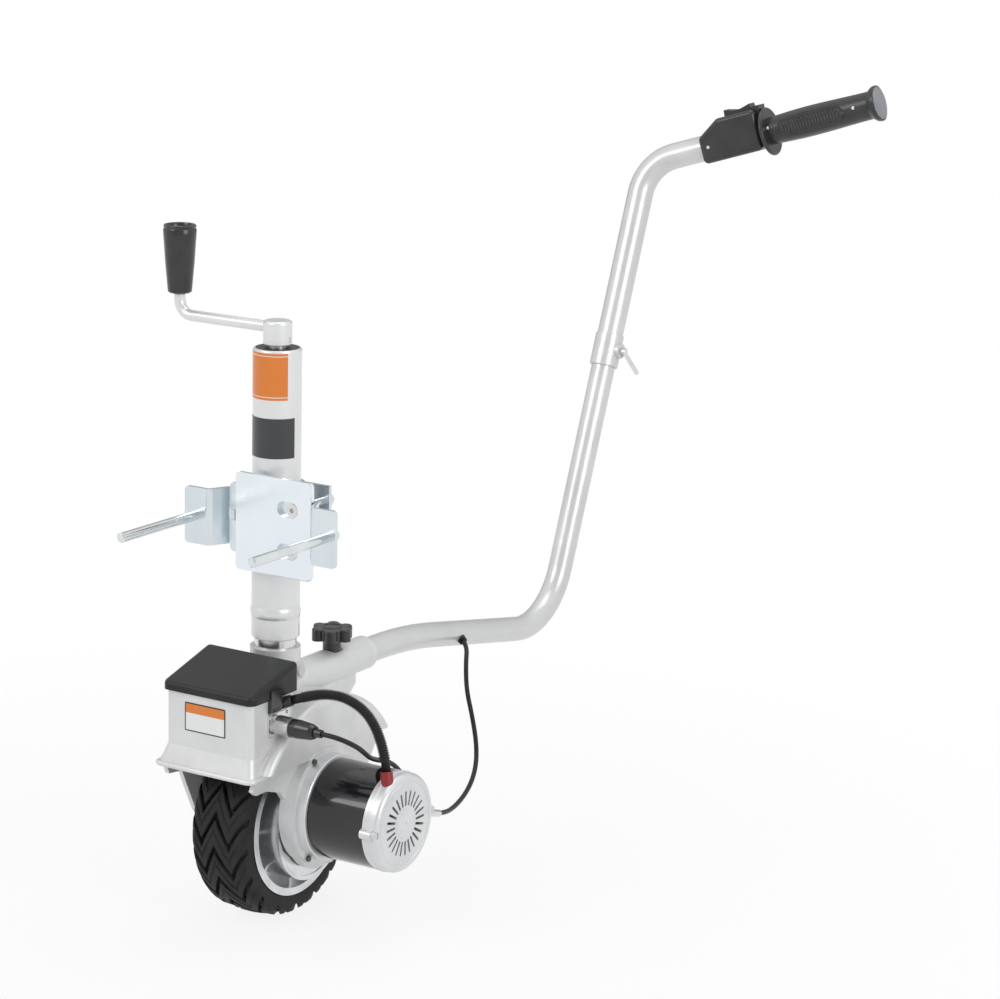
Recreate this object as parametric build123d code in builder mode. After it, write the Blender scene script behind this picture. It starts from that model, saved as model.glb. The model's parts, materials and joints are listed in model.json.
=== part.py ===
"""Electric trailer dolly: a motorised jockey wheel with a crank jack tube, a drawbar
clamp, a control box over the wheel, a geared motor and a long steering handle.

Frame in millimetres: +X towards the motor along the wheel axle, +Y rearward towards
the handle, +Z up. The origin lies on the jack tube's axis, level with the two studs.
"""
from build123d import *
import os
from math import acos, atan2, cos, degrees, pi, radians, sin, sqrt, tan

os.makedirs("parts", exist_ok=True)

# Clearances
fit = 0.05            # running fit, per side
slip = 0.3            # loose gap between bodies, per side
seat = 0.05           # gap between curved pieces fixed to one another

# Jack tubes
tube_od = 48.0
tube_wall = 2.3
tube_top = 168.5
tube_foot = -123.6
bead_z = -96.6
bead_half = 5.6
bead_rise = 1.1
inner_od = 42.0
inner_wall = 2.0
inner_top = 96.5
tube_r = tube_od / 2
tube_bore = tube_r - tube_wall
inner_r = inner_od / 2
inner_bore = inner_r - inner_wall

# Crank
hub_r = 14.3
hub_gap = 3.0
hub_len = 23.7
rod_r = 5.6
arm_len = 120.0
arm_rise = 19.0
rod_bend = 15.0
grip_foot = 209.3
grip_len = 67.7
grip_r_low = 11.5
grip_r_high = 16.8
spindle_r = 8.0
journal_r = 9.0
spindle_foot = -78.0
hub_foot = tube_top + hub_gap
hub_top = hub_foot + hub_len
arm_z = tube_top + arm_rise

# Bracket
brk_x = 15.5          # middle of the two ears, to the motor side of the tube
stud_span = 155.0
stud_d = 10.0
stud_end_r = stud_d / 2 - 0.4
stud_tip = -167.0
stud_tail = -30.0
ear_w = 28.0
strap_h = 57.0
strap_t = 4.0
ear_front = -50.0
ear_bend = 62.5       # from the middle to the bend of an ear
leg_base = 52.5       # from the middle to the foot of a leg
strap_bend = 5.0
plate_w = 91.0
plate_h = 98.0
plate_t = 5.0
plate_corner = 5.0
plate_x = 22.0
plate_z = -1.5
inner_plate_t = 3.0
inner_plate_h = 70.0
inner_plate_left = -33.5
inner_plate_right = 52.0
saddle_t = 4.0
saddle_y = 14.0
saddle_h = 68.0
clamp_x = 44.5
clamp_zs = (17.7, -24.5)
clamp_d = 8.0
slot_w = 24.6
slot_h = 16.0
slot_x = 39.2
web_back = -(tube_r + seat)
web_front = web_back - strap_t
inner_front = web_front - inner_plate_t
plate_front = inner_front - plate_t
stud_xs = (brk_x - stud_span / 2, brk_x + stud_span / 2)

# Outer jack tube with its bead and the keyway that stops the nut from turning
key_w = 6.0
key_depth = 1.0
key_foot = -95.0
cap_t = 10.5
rim_r = 2.2
with BuildPart() as outer_tube:
    with BuildSketch(Plane.XZ):
        with BuildLine():
            Polyline((tube_bore, tube_foot + 2), (tube_bore, tube_top))
            Line((tube_bore, tube_top), (tube_r - rim_r, tube_top))
            RadiusArc((tube_r - rim_r, tube_top), (tube_r, tube_top - rim_r), rim_r)
            Line((tube_r, tube_top - rim_r), (tube_r, bead_z + bead_half))
            ThreePointArc((tube_r, bead_z + bead_half), (tube_r + bead_rise, bead_z),
                          (tube_r, bead_z - bead_half))
            Polyline((tube_r, bead_z - bead_half), (tube_r, tube_foot + 1.5),
                     (tube_r - 1.5, tube_foot), (tube_bore + 0.5, tube_foot),
                     (tube_bore, tube_foot + 2))
        make_face()
    revolve(axis=Axis.Z)
    with BuildSketch(Plane.XY.offset(key_foot)):
        with Locations((0, tube_bore)):
            Rectangle(key_w, 2 * key_depth)
    extrude(amount=tube_top - cap_t - 15 - key_foot, mode=Mode.SUBTRACT)
outer_tube.part.label = "outer_tube"
export_step(outer_tube.part, "parts/outer_tube.step")

# Two bushes in the outer tube: the top cap round the crank's journal, and the foot bush
foot_bush_len = 26.0
with BuildPart() as tube_bushes:
    with BuildSketch(Plane.XY.offset(tube_top - cap_t)):
        Circle(tube_bore - seat)
        Circle(journal_r + fit, mode=Mode.SUBTRACT)
    extrude(amount=cap_t)
    with BuildSketch(Plane.XY.offset(tube_foot + 2.5)):
        Circle(tube_bore - seat)
        Circle(inner_r + fit, mode=Mode.SUBTRACT)
    extrude(amount=foot_bush_len)
tube_bushes.part.label = "tube_bushes"
export_step(tube_bushes.part, "parts/tube_bushes.step")

# Thrust bearing under the cap: two races with a ring of balls let into them
race_t = 2.5
ball_r = 2.0
race_gap = 3.0
race_r = 17.5
bearing_top = tube_top - cap_t
bearing_foot = bearing_top - 2 * race_t - race_gap
with BuildPart() as thrust_bearing:
    for race_z in (bearing_top - race_t, bearing_foot):
        with BuildSketch(Plane.XY.offset(race_z)):
            Circle(race_r)
            Circle(journal_r + slip, mode=Mode.SUBTRACT)
        extrude(amount=race_t)
    with Locations((0, 0, bearing_foot + race_t + race_gap / 2)):
        with PolarLocations(13.4, 14):
            Sphere(ball_r)
thrust_bearing.part.label = "thrust_bearing"
export_step(thrust_bearing.part, "parts/thrust_bearing.step")

# Two blank label patches, wrapped from the front to the side away from the motor
label_t = 0.3
label_tops = (166.0, 101.5)
label_heights = (46.2, 39.8)
label_ends = (-29.0, -9.0)
label_start = -165.0
with BuildPart() as tube_labels:
    for top, tall, end in zip(label_tops, label_heights, label_ends):
        with BuildSketch(Plane.XY.offset(top - tall)):
            Circle(tube_r + 0.02 + label_t)
            Circle(tube_r + 0.02, mode=Mode.SUBTRACT)
            with BuildLine(mode=Mode.PRIVATE) as wedge:
                middle = (label_start + end) / 2
                far = 60.0
                Polyline((0, 0), (far * cos(radians(end)), far * sin(radians(end))),
                         (far * cos(radians(middle)), far * sin(radians(middle))),
                         (far * cos(radians(label_start)), far * sin(radians(label_start))),
                         (0, 0))
            make_face(wedge.edges(), mode=Mode.INTERSECT)
        extrude(amount=tall)
tube_labels.part.label = "tube_labels"
export_step(tube_labels.part, "parts/tube_labels.step")

# Strap between the tube and the plates, its two ears bent forward to carry the studs
tongue_h = 10.0
tongue_z = 2.0
leg_x = -30.0
with BuildPart() as hat_strap:
    with BuildSketch(Plane.XY.offset(-strap_h / 2)):
        with BuildLine():
            FilletPolyline((brk_x - ear_bend - ear_w, ear_front + strap_t / 2),
                           (brk_x - ear_bend, ear_front + strap_t / 2),
                           (brk_x - leg_base, web_back - strap_t / 2),
                           (brk_x + leg_base, web_back - strap_t / 2),
                           (brk_x + ear_bend, ear_front + strap_t / 2),
                           (brk_x + ear_bend + ear_w, ear_front + strap_t / 2),
                           radius=strap_bend)
        trace(line_width=strap_t)
    extrude(amount=strap_h)
    ear_edges = hat_strap.edges().filter_by(Axis.Y).sort_by(Axis.X)
    fillet(ear_edges[:2] + ear_edges[-2:], 4)
    with BuildSketch(Plane.XZ.offset(20)):
        with Locations(*[(x, 0) for x in stud_xs]):
            Circle(stud_end_r + seat)
        for z in clamp_zs:
            with Locations((clamp_x, z)):
                Circle(clamp_d / 2 + slip)
        with Locations((clamp_x, clamp_zs[1] - clamp_d)):
            Rectangle(clamp_d + 2 * slip, 2 * clamp_d)
        with Locations((leg_x, tongue_z)):
            Rectangle(saddle_t + 2 * slip, tongue_h + 2 * slip)
    extrude(amount=40, mode=Mode.SUBTRACT)
hat_strap.part.label = "hat_strap"
export_step(hat_strap.part, "parts/hat_strap.step")

# Inner plate with the notch for the saddle's tongue
with BuildPart() as inner_plate:
    with BuildSketch(Plane.XZ.offset(-web_front)):
        with Locations(((inner_plate_left + inner_plate_right) / 2, 0)):
            RectangleRounded(inner_plate_right - inner_plate_left, inner_plate_h, 5)
        with Locations((inner_plate_left, tongue_z)):
            Rectangle(2 * (leg_x + saddle_t / 2 + 1 - inner_plate_left), tongue_h + 2 * slip,
                      mode=Mode.SUBTRACT)
        for z in clamp_zs:
            with Locations((clamp_x, z)):
                Circle(clamp_d / 2 + seat, mode=Mode.SUBTRACT)
    extrude(amount=inner_plate_t)
inner_plate.part.label = "inner_plate"
export_step(inner_plate.part, "parts/inner_plate.step")

# Front plate, which the drawbar bears on, with two slots over the clamp screws
with BuildPart() as front_plate:
    with BuildSketch(Plane.XZ.offset(-inner_front)):
        with Locations((plate_x, plate_z)):
            RectangleRounded(plate_w, plate_h, plate_corner)
        for z in clamp_zs:
            with Locations((slot_x, z)):
                SlotOverall(slot_w, slot_h, mode=Mode.SUBTRACT)
    extrude(amount=plate_t)
    chamfer(front_plate.faces().sort_by(Axis.Y)[0].outer_wire().edges(), 0.6)
front_plate.part.label = "front_plate"
export_step(front_plate.part, "parts/front_plate.step")

# Saddle behind the tube: hooked by a tongue on one side, screwed on the other
bulge_r = tube_r + seat
flange_end = clamp_x + 9
with BuildPart() as rear_saddle:
    with BuildSketch(Plane.XY.offset(-saddle_h / 2)):
        with Locations(((flange_end + 14) / 2, saddle_y + saddle_t / 2)):
            Rectangle(flange_end - 14, saddle_t)
        Circle(bulge_r + saddle_t)
        with Locations((0, -50)):
            Rectangle(120, 100, mode=Mode.SUBTRACT)
        with Locations((bulge_r, 0)):
            Rectangle(20, 2 * saddle_y - 8, mode=Mode.SUBTRACT)
        with Locations((leg_x, (web_back + 8) / 2)):
            Rectangle(saddle_t, 8 - web_back)
        with Locations((leg_x + 2, 5)):
            Rectangle(saddle_t + 3, 6)
        Circle(bulge_r, mode=Mode.SUBTRACT)
    extrude(amount=saddle_h)
    with BuildSketch(Plane.XY.offset(tongue_z - tongue_h / 2)):
        with Locations((leg_x, web_back - (strap_t + inner_plate_t) / 2 + 0.5)):
            Rectangle(saddle_t, strap_t + inner_plate_t + 1)
    extrude(amount=tongue_h)
    with BuildSketch(Plane.XZ.offset(-saddle_y - 10)):
        for z in clamp_zs:
            with Locations((clamp_x, z)):
                Circle(clamp_d / 2 + seat)
    extrude(amount=20, mode=Mode.SUBTRACT)
rear_saddle.part.label = "rear_saddle"
export_step(rear_saddle.part, "parts/rear_saddle.step")

# Two studs towards the drawbar: each shoulders on its ear, and its turned-down end takes a nut
nut_t = 8.0
stud_back = ear_front + strap_t
with BuildPart() as studs:
    for x in stud_xs:
        with BuildSketch(Plane.XZ.offset(-ear_front)):
            with Locations((x, 0)):
                Circle(stud_d / 2)
        extrude(amount=ear_front - stud_tip)
        with BuildSketch(Plane.XZ.offset(-stud_tail)):
            with Locations((x, 0)):
                Circle(stud_end_r)
        extrude(amount=stud_tail - ear_front)
    chamfer(studs.faces().sort_by(Axis.Y)[:2].edges(), 1.2)
studs.part.label = "studs"
export_step(studs.part, "parts/studs.step")
with BuildPart() as stud_nuts:
    for x in stud_xs:
        with BuildSketch(Plane.XZ.offset(-stud_back - nut_t)):
            with Locations((x, 0)):
                RegularPolygon(9.2, 6)
                Circle(stud_end_r + seat, mode=Mode.SUBTRACT)
        extrude(amount=nut_t)
stud_nuts.part.label = "stud_nuts"
export_step(stud_nuts.part, "parts/stud_nuts.step")

# Two low socket-head screws through the plates and the saddle, each with its nut
head_r = 6.5
head_t = 4.6
clamp_nut_t = 6.8
saddle_back = saddle_y + saddle_t
with BuildPart() as clamp_bolts:
    for z in clamp_zs:
        with BuildSketch(Plane.XZ.offset(-inner_front)):
            with Locations((clamp_x, z)):
                Circle(head_r)
        extrude(amount=head_t)
        with BuildSketch(Plane.XZ.offset(-saddle_back - 12)):
            with Locations((clamp_x, z)):
                Circle(clamp_d / 2)
        extrude(amount=saddle_back + 12 - inner_front)
        with BuildSketch(Plane.XZ.offset(-inner_front + head_t - 2.6)):
            with Locations((clamp_x, z)):
                RegularPolygon(2.9, 6)
        extrude(amount=4, mode=Mode.SUBTRACT)
    for z in clamp_zs:
        with BuildSketch(Plane.XZ.offset(-saddle_back - clamp_nut_t)):
            with Locations((clamp_x, z)):
                RegularPolygon(7.5, 6)
                Circle(clamp_d / 2 + seat, mode=Mode.SUBTRACT)
        extrude(amount=clamp_nut_t, mode=Mode.ADD)
clamp_bolts.part.label = "clamp_bolts"
export_step(clamp_bolts.part, "parts/clamp_bolts.step")

# Crank spindle: screw, thrust collar and journal up into the hub
collar_t = 4.0
pin_r = 2.5
with BuildPart() as crank_spindle:
    with BuildSketch(Plane.XZ):
        with BuildLine():
            Polyline((0, spindle_foot), (spindle_r - 1.5, spindle_foot),
                     (spindle_r, spindle_foot + 1.5), (spindle_r, bearing_foot - collar_t),
                     (race_r - 0.5, bearing_foot - collar_t), (race_r - 0.5, bearing_foot),
                     (journal_r, bearing_foot), (journal_r, hub_top - 4), (0, hub_top - 4),
                     (0, spindle_foot))
        make_face()
    revolve(axis=Axis.Z)
    with BuildSketch(Plane.YZ.offset(-2 * hub_r)):
        with Locations((0, hub_foot + 5.5)):
            Circle(pin_r + seat)
    extrude(amount=4 * hub_r, mode=Mode.SUBTRACT)
crank_spindle.part.label = "crank_spindle"
export_step(crank_spindle.part, "parts/crank_spindle.step")

# Crank hub, with the hole for the arm across its upper half
with BuildPart() as crank_hub:
    with BuildSketch(Plane.XZ):
        with BuildLine():
            Polyline((journal_r + seat, hub_foot), (hub_r - 1, hub_foot), (hub_r, hub_foot + 1),
                     (hub_r, hub_top - 3))
            RadiusArc((hub_r, hub_top - 3), (hub_r - 3, hub_top), -3)
            Polyline((hub_r - 3, hub_top), (0, hub_top), (0, hub_top - 4 + seat),
                     (journal_r + seat, hub_top - 4 + seat), (journal_r + seat, hub_foot))
        make_face()
    revolve(axis=Axis.Z)
    with BuildSketch(Plane.YZ.offset(-2 * hub_r)):
        with Locations((0, hub_foot + 5.5)):
            Circle(pin_r + seat)
    extrude(amount=4 * hub_r, mode=Mode.SUBTRACT)
    with BuildSketch(Plane.YZ.offset(-2 * hub_r)):
        with Locations((0, arm_z)):
            Circle(rod_r + seat)
    extrude(amount=2 * hub_r - journal_r, mode=Mode.SUBTRACT)
crank_hub.part.label = "crank_hub"
export_step(crank_hub.part, "parts/crank_hub.step")

# Pin that locks the hub to the spindle
with BuildPart() as hub_pin:
    with BuildSketch(Plane.YZ.offset(-hub_r + 0.6)):
        with Locations((0, hub_foot + 5.5)):
            Circle(pin_r)
    extrude(amount=2 * hub_r - 1.2)
    chamfer(hub_pin.edges(), 0.4)
hub_pin.part.label = "hub_pin"
export_step(hub_pin.part, "parts/hub_pin.step")

# Crank arm: one bent rod from the hub out and up through the grip, with a riveted end
grip_top = grip_foot + grip_len
pilot_r = 4.0
with BuildPart() as crank_rod:
    with BuildLine() as arm_line:
        FilletPolyline((-journal_r - 1, 0, arm_z), (-arm_len, 0, arm_z),
                       (-arm_len, 0, grip_foot - 1.5), radius=rod_bend)
    with BuildSketch(Plane(origin=(-journal_r - 1, 0, arm_z), z_dir=(-1, 0, 0))):
        Circle(rod_r)
    sweep()
    with BuildSketch(Plane.XY.offset(grip_foot - 1.5)):
        with Locations((-arm_len, 0)):
            Circle(pilot_r)
    extrude(amount=grip_len - 2)
    with BuildSketch(Plane.XY.offset(grip_top - 5 + fit)):
        with Locations((-arm_len, 0)):
            Circle(pilot_r + 3)
    extrude(amount=2)
crank_rod.part.label = "crank_rod"
export_step(crank_rod.part, "parts/crank_rod.step")

# Turning grip: wider at the top, with a recess over the rivet
with BuildPart() as crank_grip:
    with BuildSketch(Plane.XZ):
        with BuildLine():
            Polyline((pilot_r + fit, grip_foot), (grip_r_low - 2, grip_foot),
                     (grip_r_low, grip_foot + 2), (grip_r_low + 0.4, grip_foot + 8))
            Spline((grip_r_low + 0.4, grip_foot + 8), (12.9, grip_foot + 28),
                   (15.4, grip_foot + 48), (grip_r_high, grip_top - 5),
                   tangents=((0.1, 1), (0.05, 1)))
            RadiusArc((grip_r_high, grip_top - 5), (grip_r_high - 5, grip_top), -5)
            Polyline((grip_r_high - 5, grip_top), (pilot_r + 5.5, grip_top),
                     (pilot_r + 4.5, grip_top - 5), (pilot_r + fit, grip_top - 5),
                     (pilot_r + fit, grip_foot))
        make_face()
    revolve(axis=Axis.Z)
crank_grip.part.position = (-arm_len, 0, 0)
crank_grip.part.label = "crank_grip"
export_step(crank_grip.part, "parts/crank_grip.step")

# Nut that the spindle drives: keyed to the outer tube, and a pivot for the inner tube
nut_flange_t = 12.0
nut_washer_t = 1.5
nut_hub_r = 12.5
nut_hub_len = 28.0
nut_foot = inner_top + nut_washer_t
with BuildPart() as lift_nut:
    with BuildSketch(Plane.XY.offset(nut_foot)):
        Circle(tube_bore - slip)
        with Locations((0, tube_bore)):
            Rectangle(key_w - 2 * slip, 2 * (key_depth - slip))
        with Locations((0, tube_bore + 5 + key_depth - slip)):
            Rectangle(20, 10, mode=Mode.SUBTRACT)
    extrude(amount=nut_flange_t)
    with BuildSketch(Plane.XY.offset(nut_foot - nut_hub_len)):
        Circle(nut_hub_r)
    extrude(amount=nut_hub_len)
    with BuildSketch(Plane.XY.offset(nut_foot - nut_hub_len)):
        Circle(spindle_r + fit)
    extrude(amount=nut_hub_len + nut_flange_t, mode=Mode.SUBTRACT)
lift_nut.part.label = "lift_nut"
export_step(lift_nut.part, "parts/lift_nut.step")

# Bearing washer over the inner tube's head and retaining ring under it
head_ring_t = 14.5
ring_t = 3.0
with BuildPart() as nut_rings:
    with BuildSketch(Plane.XY.offset(inner_top + fit)):
        Circle(inner_r - 2)
        Circle(nut_hub_r + seat, mode=Mode.SUBTRACT)
    extrude(amount=nut_washer_t - fit)
    with BuildSketch(Plane.XY.offset(inner_top - head_ring_t - fit - ring_t)):
        Circle(nut_hub_r + 3.5)
        Circle(nut_hub_r + seat, mode=Mode.SUBTRACT)
    extrude(amount=ring_t)
nut_rings.part.label = "nut_rings"
export_step(nut_rings.part, "parts/nut_rings.step")

# Wheel
axle_y = -1.1
axle_z = -309.75
axle_r = 10.0
tyre_r = 99.9
tyre_w = 65.2
bead_seat_r = 72.0
lip_r = 76.7
lip_t = 2.5
drum_r = 57.7
drum_wall = 4.5
drum_end = 48.5
hub_od = 36.0
hub_half = 30.0
bearing_r = 15.0
bearing_w = 9.0

# Motor
motor_z = -287.4
can_r = 50.2
can_wall = 2.2
ring_r = 53.7
ring_x0 = 66.0
ring_x1 = 77.0
can_x1 = 142.3
cap_x1 = 160.0
shaft_r = 4.0

# Cast body
box_half = 52.0
box_front = -110.0
box_back = -37.0
box_top = -160.0
box_foot = -216.0
box_wall = 3.5
box_corner = 7.0
skirt_foot = -238.0
skirt_wall = 4.5
skirt_left = -59.0
skirt_right = 57.0
skirt_front = -117.0
arch_y = 8.0
arch_z = -306.0
arch_r = 128.0
arch_wall = 6.0
arch_rear = 36.0
body_left = -52.0
body_right = 64.0
side_wall = 5.0
cheek_x0 = 50.0
cheek_t = 5.0
case_r = 60.0
case_wall = 9.0
arm_x0 = -57.0
collar_r = 25.2
web_top = -163.0
collar_top = -132.7
socket_floor = -176.0

# Handle
lower_r = 13.5
lower_wall = 2.0
boss_r = 17.5
boss_z = -176.0
boss_end = 155.0
socket_start = 62.0
knob_y = 98.0
knob_seat_z = -161.0
knob_screw_r = 5.0


def across(x, y=axle_y, z=axle_z):
    """Plane square to X at x, its own x along +Y and its own y along +Z."""
    return Plane(origin=(x, y, z), x_dir=(0, 1, 0), z_dir=(1, 0, 0))


def section(y=axle_y, z=axle_z):
    """Upright plane through an axle line, its own x along +X and its own y along +Z."""
    return Plane(origin=(0, y, z), x_dir=(1, 0, 0), z_dir=(0, -1, 0))


wheel_axis = Axis((0, axle_y, axle_z), (1, 0, 0))
motor_axis = Axis((0, axle_y, motor_z), (1, 0, 0))
case_x1 = ring_x0

# Casting: box, flared skirt, fender over the wheel, gear case, arm, collar and sockets
cheek_line = [(-110.6, -247.4), (-105, -252), (-88, -252), (-66, -259), (-56, -272), (-53.5, -298),
              (-41, -326), (-23, -346), (-2.5, -354), (24, -356), (46, -345), (62, -320),
              (74, -285), (100, -248), (60, -200), (-60, -200), (-100, -225)]
arm_line = [(-112, -232), (-104, -250), (-84, -252), (-73, -275), (-61, -299), (-42, -322),
            (-20, -336), (0, -340), (22, -336), (42, -318), (60, -290), (84, -255), (100, -240),
            (60, -195), (-60, -195)]
with BuildPart() as box_room:
    with BuildSketch(Plane.XY.offset(box_foot + 3)):
        with Locations((0, (box_front + box_back) / 2)):
            RectangleRounded(2 * (box_half - box_wall), box_back - box_front - 2 * box_wall,
                             box_corner - box_wall)
    extrude(amount=box_top - box_foot)
    with BuildSketch(across(-100, arch_y, arch_z)):
        Circle(arch_r)
    extrude(amount=200, mode=Mode.SUBTRACT)
with BuildPart() as cast_body:
    with BuildSketch(Plane.XY.offset(box_foot)):
        with Locations((0, (box_front + box_back) / 2)):
            RectangleRounded(2 * box_half, box_back - box_front, box_corner)
    extrude(amount=box_top - box_foot)
    with BuildSketch(Plane.XY.offset(box_foot)):
        with Locations((0, (box_front - 50) / 2)):
            RectangleRounded(2 * box_half, -50 - box_front, box_corner)
    with BuildSketch(Plane.XY.offset(skirt_foot)):
        with Locations(((skirt_left + skirt_right) / 2, (skirt_front - 50) / 2)):
            RectangleRounded(skirt_right - skirt_left, -50 - skirt_front, box_corner)
    loft()
    with BuildSketch(across(body_left, arch_y, arch_z)):
        Circle(arch_r)
        with Locations((0, -arch_r + arch_r * sin(radians(arch_rear)) - 3)):
            Rectangle(3 * arch_r, 2 * arch_r, mode=Mode.SUBTRACT)
    extrude(amount=body_right - body_left)
    fillet(cast_body.edges().filter_by(GeomType.CIRCLE).filter_by(
        lambda e: abs(e.radius - arch_r) < 0.1 and e.center().X > body_right - 1), 7)
    with BuildSketch(Plane.XY.offset(socket_floor - 12)):
        Circle(collar_r)
    extrude(amount=collar_top - socket_floor + 12)
    with BuildSketch(Plane.XY.offset(box_foot + 20)):
        with Locations((0, (box_back - 10) / 2)):
            Rectangle(34, -box_back - 10)
    extrude(amount=web_top - box_foot - 20)
    with BuildSketch(Plane.XZ.offset(-boss_end)):
        with Locations((0, boss_z)):
            Circle(boss_r)
    extrude(amount=boss_end - 10)
    with BuildSketch(Plane.YZ.offset(-6)):
        Polygon((10, boss_z), (boss_end - 22, boss_z), (boss_end - 22, boss_z - boss_r - 9),
                (104, -228), (60, -240), (10, -200), align=None)
    extrude(amount=12)
    with BuildSketch(across(cheek_x0, 0, 0)):
        Polygon(*cheek_line, align=None)
    extrude(amount=cheek_t)
    with BuildSketch(across(cheek_x0, axle_y, motor_z)):
        Circle(case_r)
    extrude(amount=case_x1 - cheek_x0)
    with BuildSketch(across(cheek_x0)):
        Circle(44)
    extrude(amount=cheek_t + 3)
    with BuildSketch(across(arm_x0, 0, 0)):
        Polygon(*arm_line, align=None)
    extrude(amount=body_left - arm_x0)
    with BuildSketch(across(body_left + side_wall, arch_y, arch_z)):
        Circle(arch_r - arch_wall)
    extrude(amount=cheek_x0 - body_left - side_wall, mode=Mode.SUBTRACT)
    with BuildSketch(Plane.YZ.offset(body_left)):
        Polygon((-95, -262), (-95, -235), (-60, -215), (60, -215), (110, -235), (110, -262),
                align=None)
    extrude(amount=side_wall, mode=Mode.SUBTRACT)
    with BuildSketch(Plane.XY.offset(box_foot)):
        with Locations((0, (box_front - 60) / 2)):
            RectangleRounded(2 * box_half - 2 * skirt_wall, -60 - box_front - 2 * skirt_wall, 3)
    with BuildSketch(Plane.XY.offset(skirt_foot)):
        with Locations(((skirt_left + skirt_right) / 2, (skirt_front - 60) / 2)):
            RectangleRounded(skirt_right - skirt_left - 2 * skirt_wall,
                             -60 - skirt_front - 2 * skirt_wall, 3)
    loft(mode=Mode.SUBTRACT)
    add(box_room.part, mode=Mode.SUBTRACT)
    with BuildSketch(across(cheek_x0 + cheek_t, axle_y, motor_z)):
        Circle(case_r - case_wall)
    extrude(amount=case_x1, mode=Mode.SUBTRACT)
    with BuildSketch(across(cheek_x0 - 1, axle_y, motor_z)):
        Circle(9 + fit)
    extrude(amount=cheek_t + 2, mode=Mode.SUBTRACT)
    with BuildSketch(across(arm_x0 - 5)):
        Circle(axle_r + fit)
    extrude(amount=cheek_x0 + cheek_t - arm_x0 + 5, mode=Mode.SUBTRACT)
    with BuildSketch(Plane.XY.offset(socket_floor)):
        Circle(inner_r + seat)
    extrude(amount=60, mode=Mode.SUBTRACT)
    with BuildSketch(Plane.XZ.offset(-boss_end - 5)):
        with Locations((0, boss_z)):
            Circle(lower_r + seat)
    extrude(amount=boss_end + 5 - socket_start, mode=Mode.SUBTRACT)
    with BuildSketch(Plane.XY.offset(knob_seat_z)):
        with Locations((0, knob_y)):
            Circle(11)
    extrude(amount=10, mode=Mode.SUBTRACT)
    with BuildSketch(Plane.XY.offset(boss_z)):
        with Locations((0, knob_y)):
            Circle(knob_screw_r + fit)
    extrude(amount=30, mode=Mode.SUBTRACT)
    with BuildSketch(Plane.YZ.offset(-40)):
        with Locations((0, collar_top - 22)):
            Circle(5 + seat)
    extrude(amount=80, mode=Mode.SUBTRACT)
cast_body.part.label = "cast_body"
export_step(cast_body.part, "parts/cast_body.step")
print("cast_body solids", len(cast_body.solids()), "valid", cast_body.part.is_valid)

# Lid with a sloping top, its skirt outside the box and its ledge on the seal
lid_gap = 0.4
lid_wall = 2.6
lid_foot = box_top - 1
lid_front = box_front - lid_gap - lid_wall
lid_back = box_back + 1.2
lid_half = box_half + lid_gap + lid_wall
lid_ledge = box_top + 1.7
lid_line = [(lid_front, lid_foot), (lid_front, -153.0), (lid_back, -130.5), (lid_back, lid_foot)]
room_line = [(lid_front + 6, lid_ledge), (lid_front + 6, -154.5), (lid_back - 7, -134.5),
             (lid_back - 4, -136.0), (lid_back - 4, lid_ledge)]
with BuildPart() as box_lid:
    with BuildSketch(Plane.YZ.offset(-lid_half)):
        Polygon(*lid_line, align=None)
    extrude(amount=2 * lid_half)
    fillet(box_lid.edges().filter_by(Axis.Z).group_by(Axis.Y)[0], 8)
    fillet(box_lid.edges().filter_by(Axis.Z).group_by(Axis.Y)[-1], 5)
    fillet(box_lid.faces().sort_by(Axis.Z)[-1].edges(), 4.6)
    with BuildSketch(Plane.XY.offset(lid_foot)):
        with Locations((0, (box_front + box_back) / 2)):
            RectangleRounded(2 * (box_half + lid_gap), box_back - box_front + 2 * lid_gap, 5)
    extrude(amount=lid_ledge - lid_foot, mode=Mode.SUBTRACT)
    with BuildSketch(Plane.YZ.offset(-box_half + 3)):
        Polygon(*room_line, align=None)
    extrude(amount=2 * box_half - 6, mode=Mode.SUBTRACT)
box_lid.part.label = "box_lid"
export_step(box_lid.part, "parts/box_lid.step")

# Two clips on the lid's sides, reaching down over the box
clip_y = -74.0
clip_w = 18.0
with BuildPart() as lid_clips:
    for side in (-1, 1):
        with BuildSketch(Plane.XZ.offset(-clip_y - clip_w / 2)):
            with BuildLine():
                Polyline((side * (box_half + 0.3), -175), (side * (box_half + 2.6), -175),
                         (side * (box_half + 4.5), -170), (side * (box_half + 4.5), -152),
                         (side * (lid_half + 0.02), -152), (side * (lid_half + 0.02), lid_foot - 0.3),
                         (side * (box_half + 0.3), lid_foot - 0.3), (side * (box_half + 0.3), -175))
            make_face()
        extrude(amount=clip_w)
lid_clips.part.label = "lid_clips"
export_step(lid_clips.part, "parts/lid_clips.step")

# Seal on the box's rim
with BuildPart() as lid_seal:
    with BuildSketch(Plane.XY.offset(box_top)):
        with Locations((0, (box_front + box_back) / 2)):
            RectangleRounded(2 * box_half - 0.6, box_back - box_front - 0.6, box_corner - 1)
            RectangleRounded(2 * (box_half - box_wall) + 0.6, box_back - box_front - 2 * box_wall + 0.6,
                             box_corner - box_wall, mode=Mode.SUBTRACT)
    extrude(amount=lid_ledge - box_top - 0.1)
lid_seal.part.label = "lid_seal"
export_step(lid_seal.part, "parts/lid_seal.step")

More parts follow.
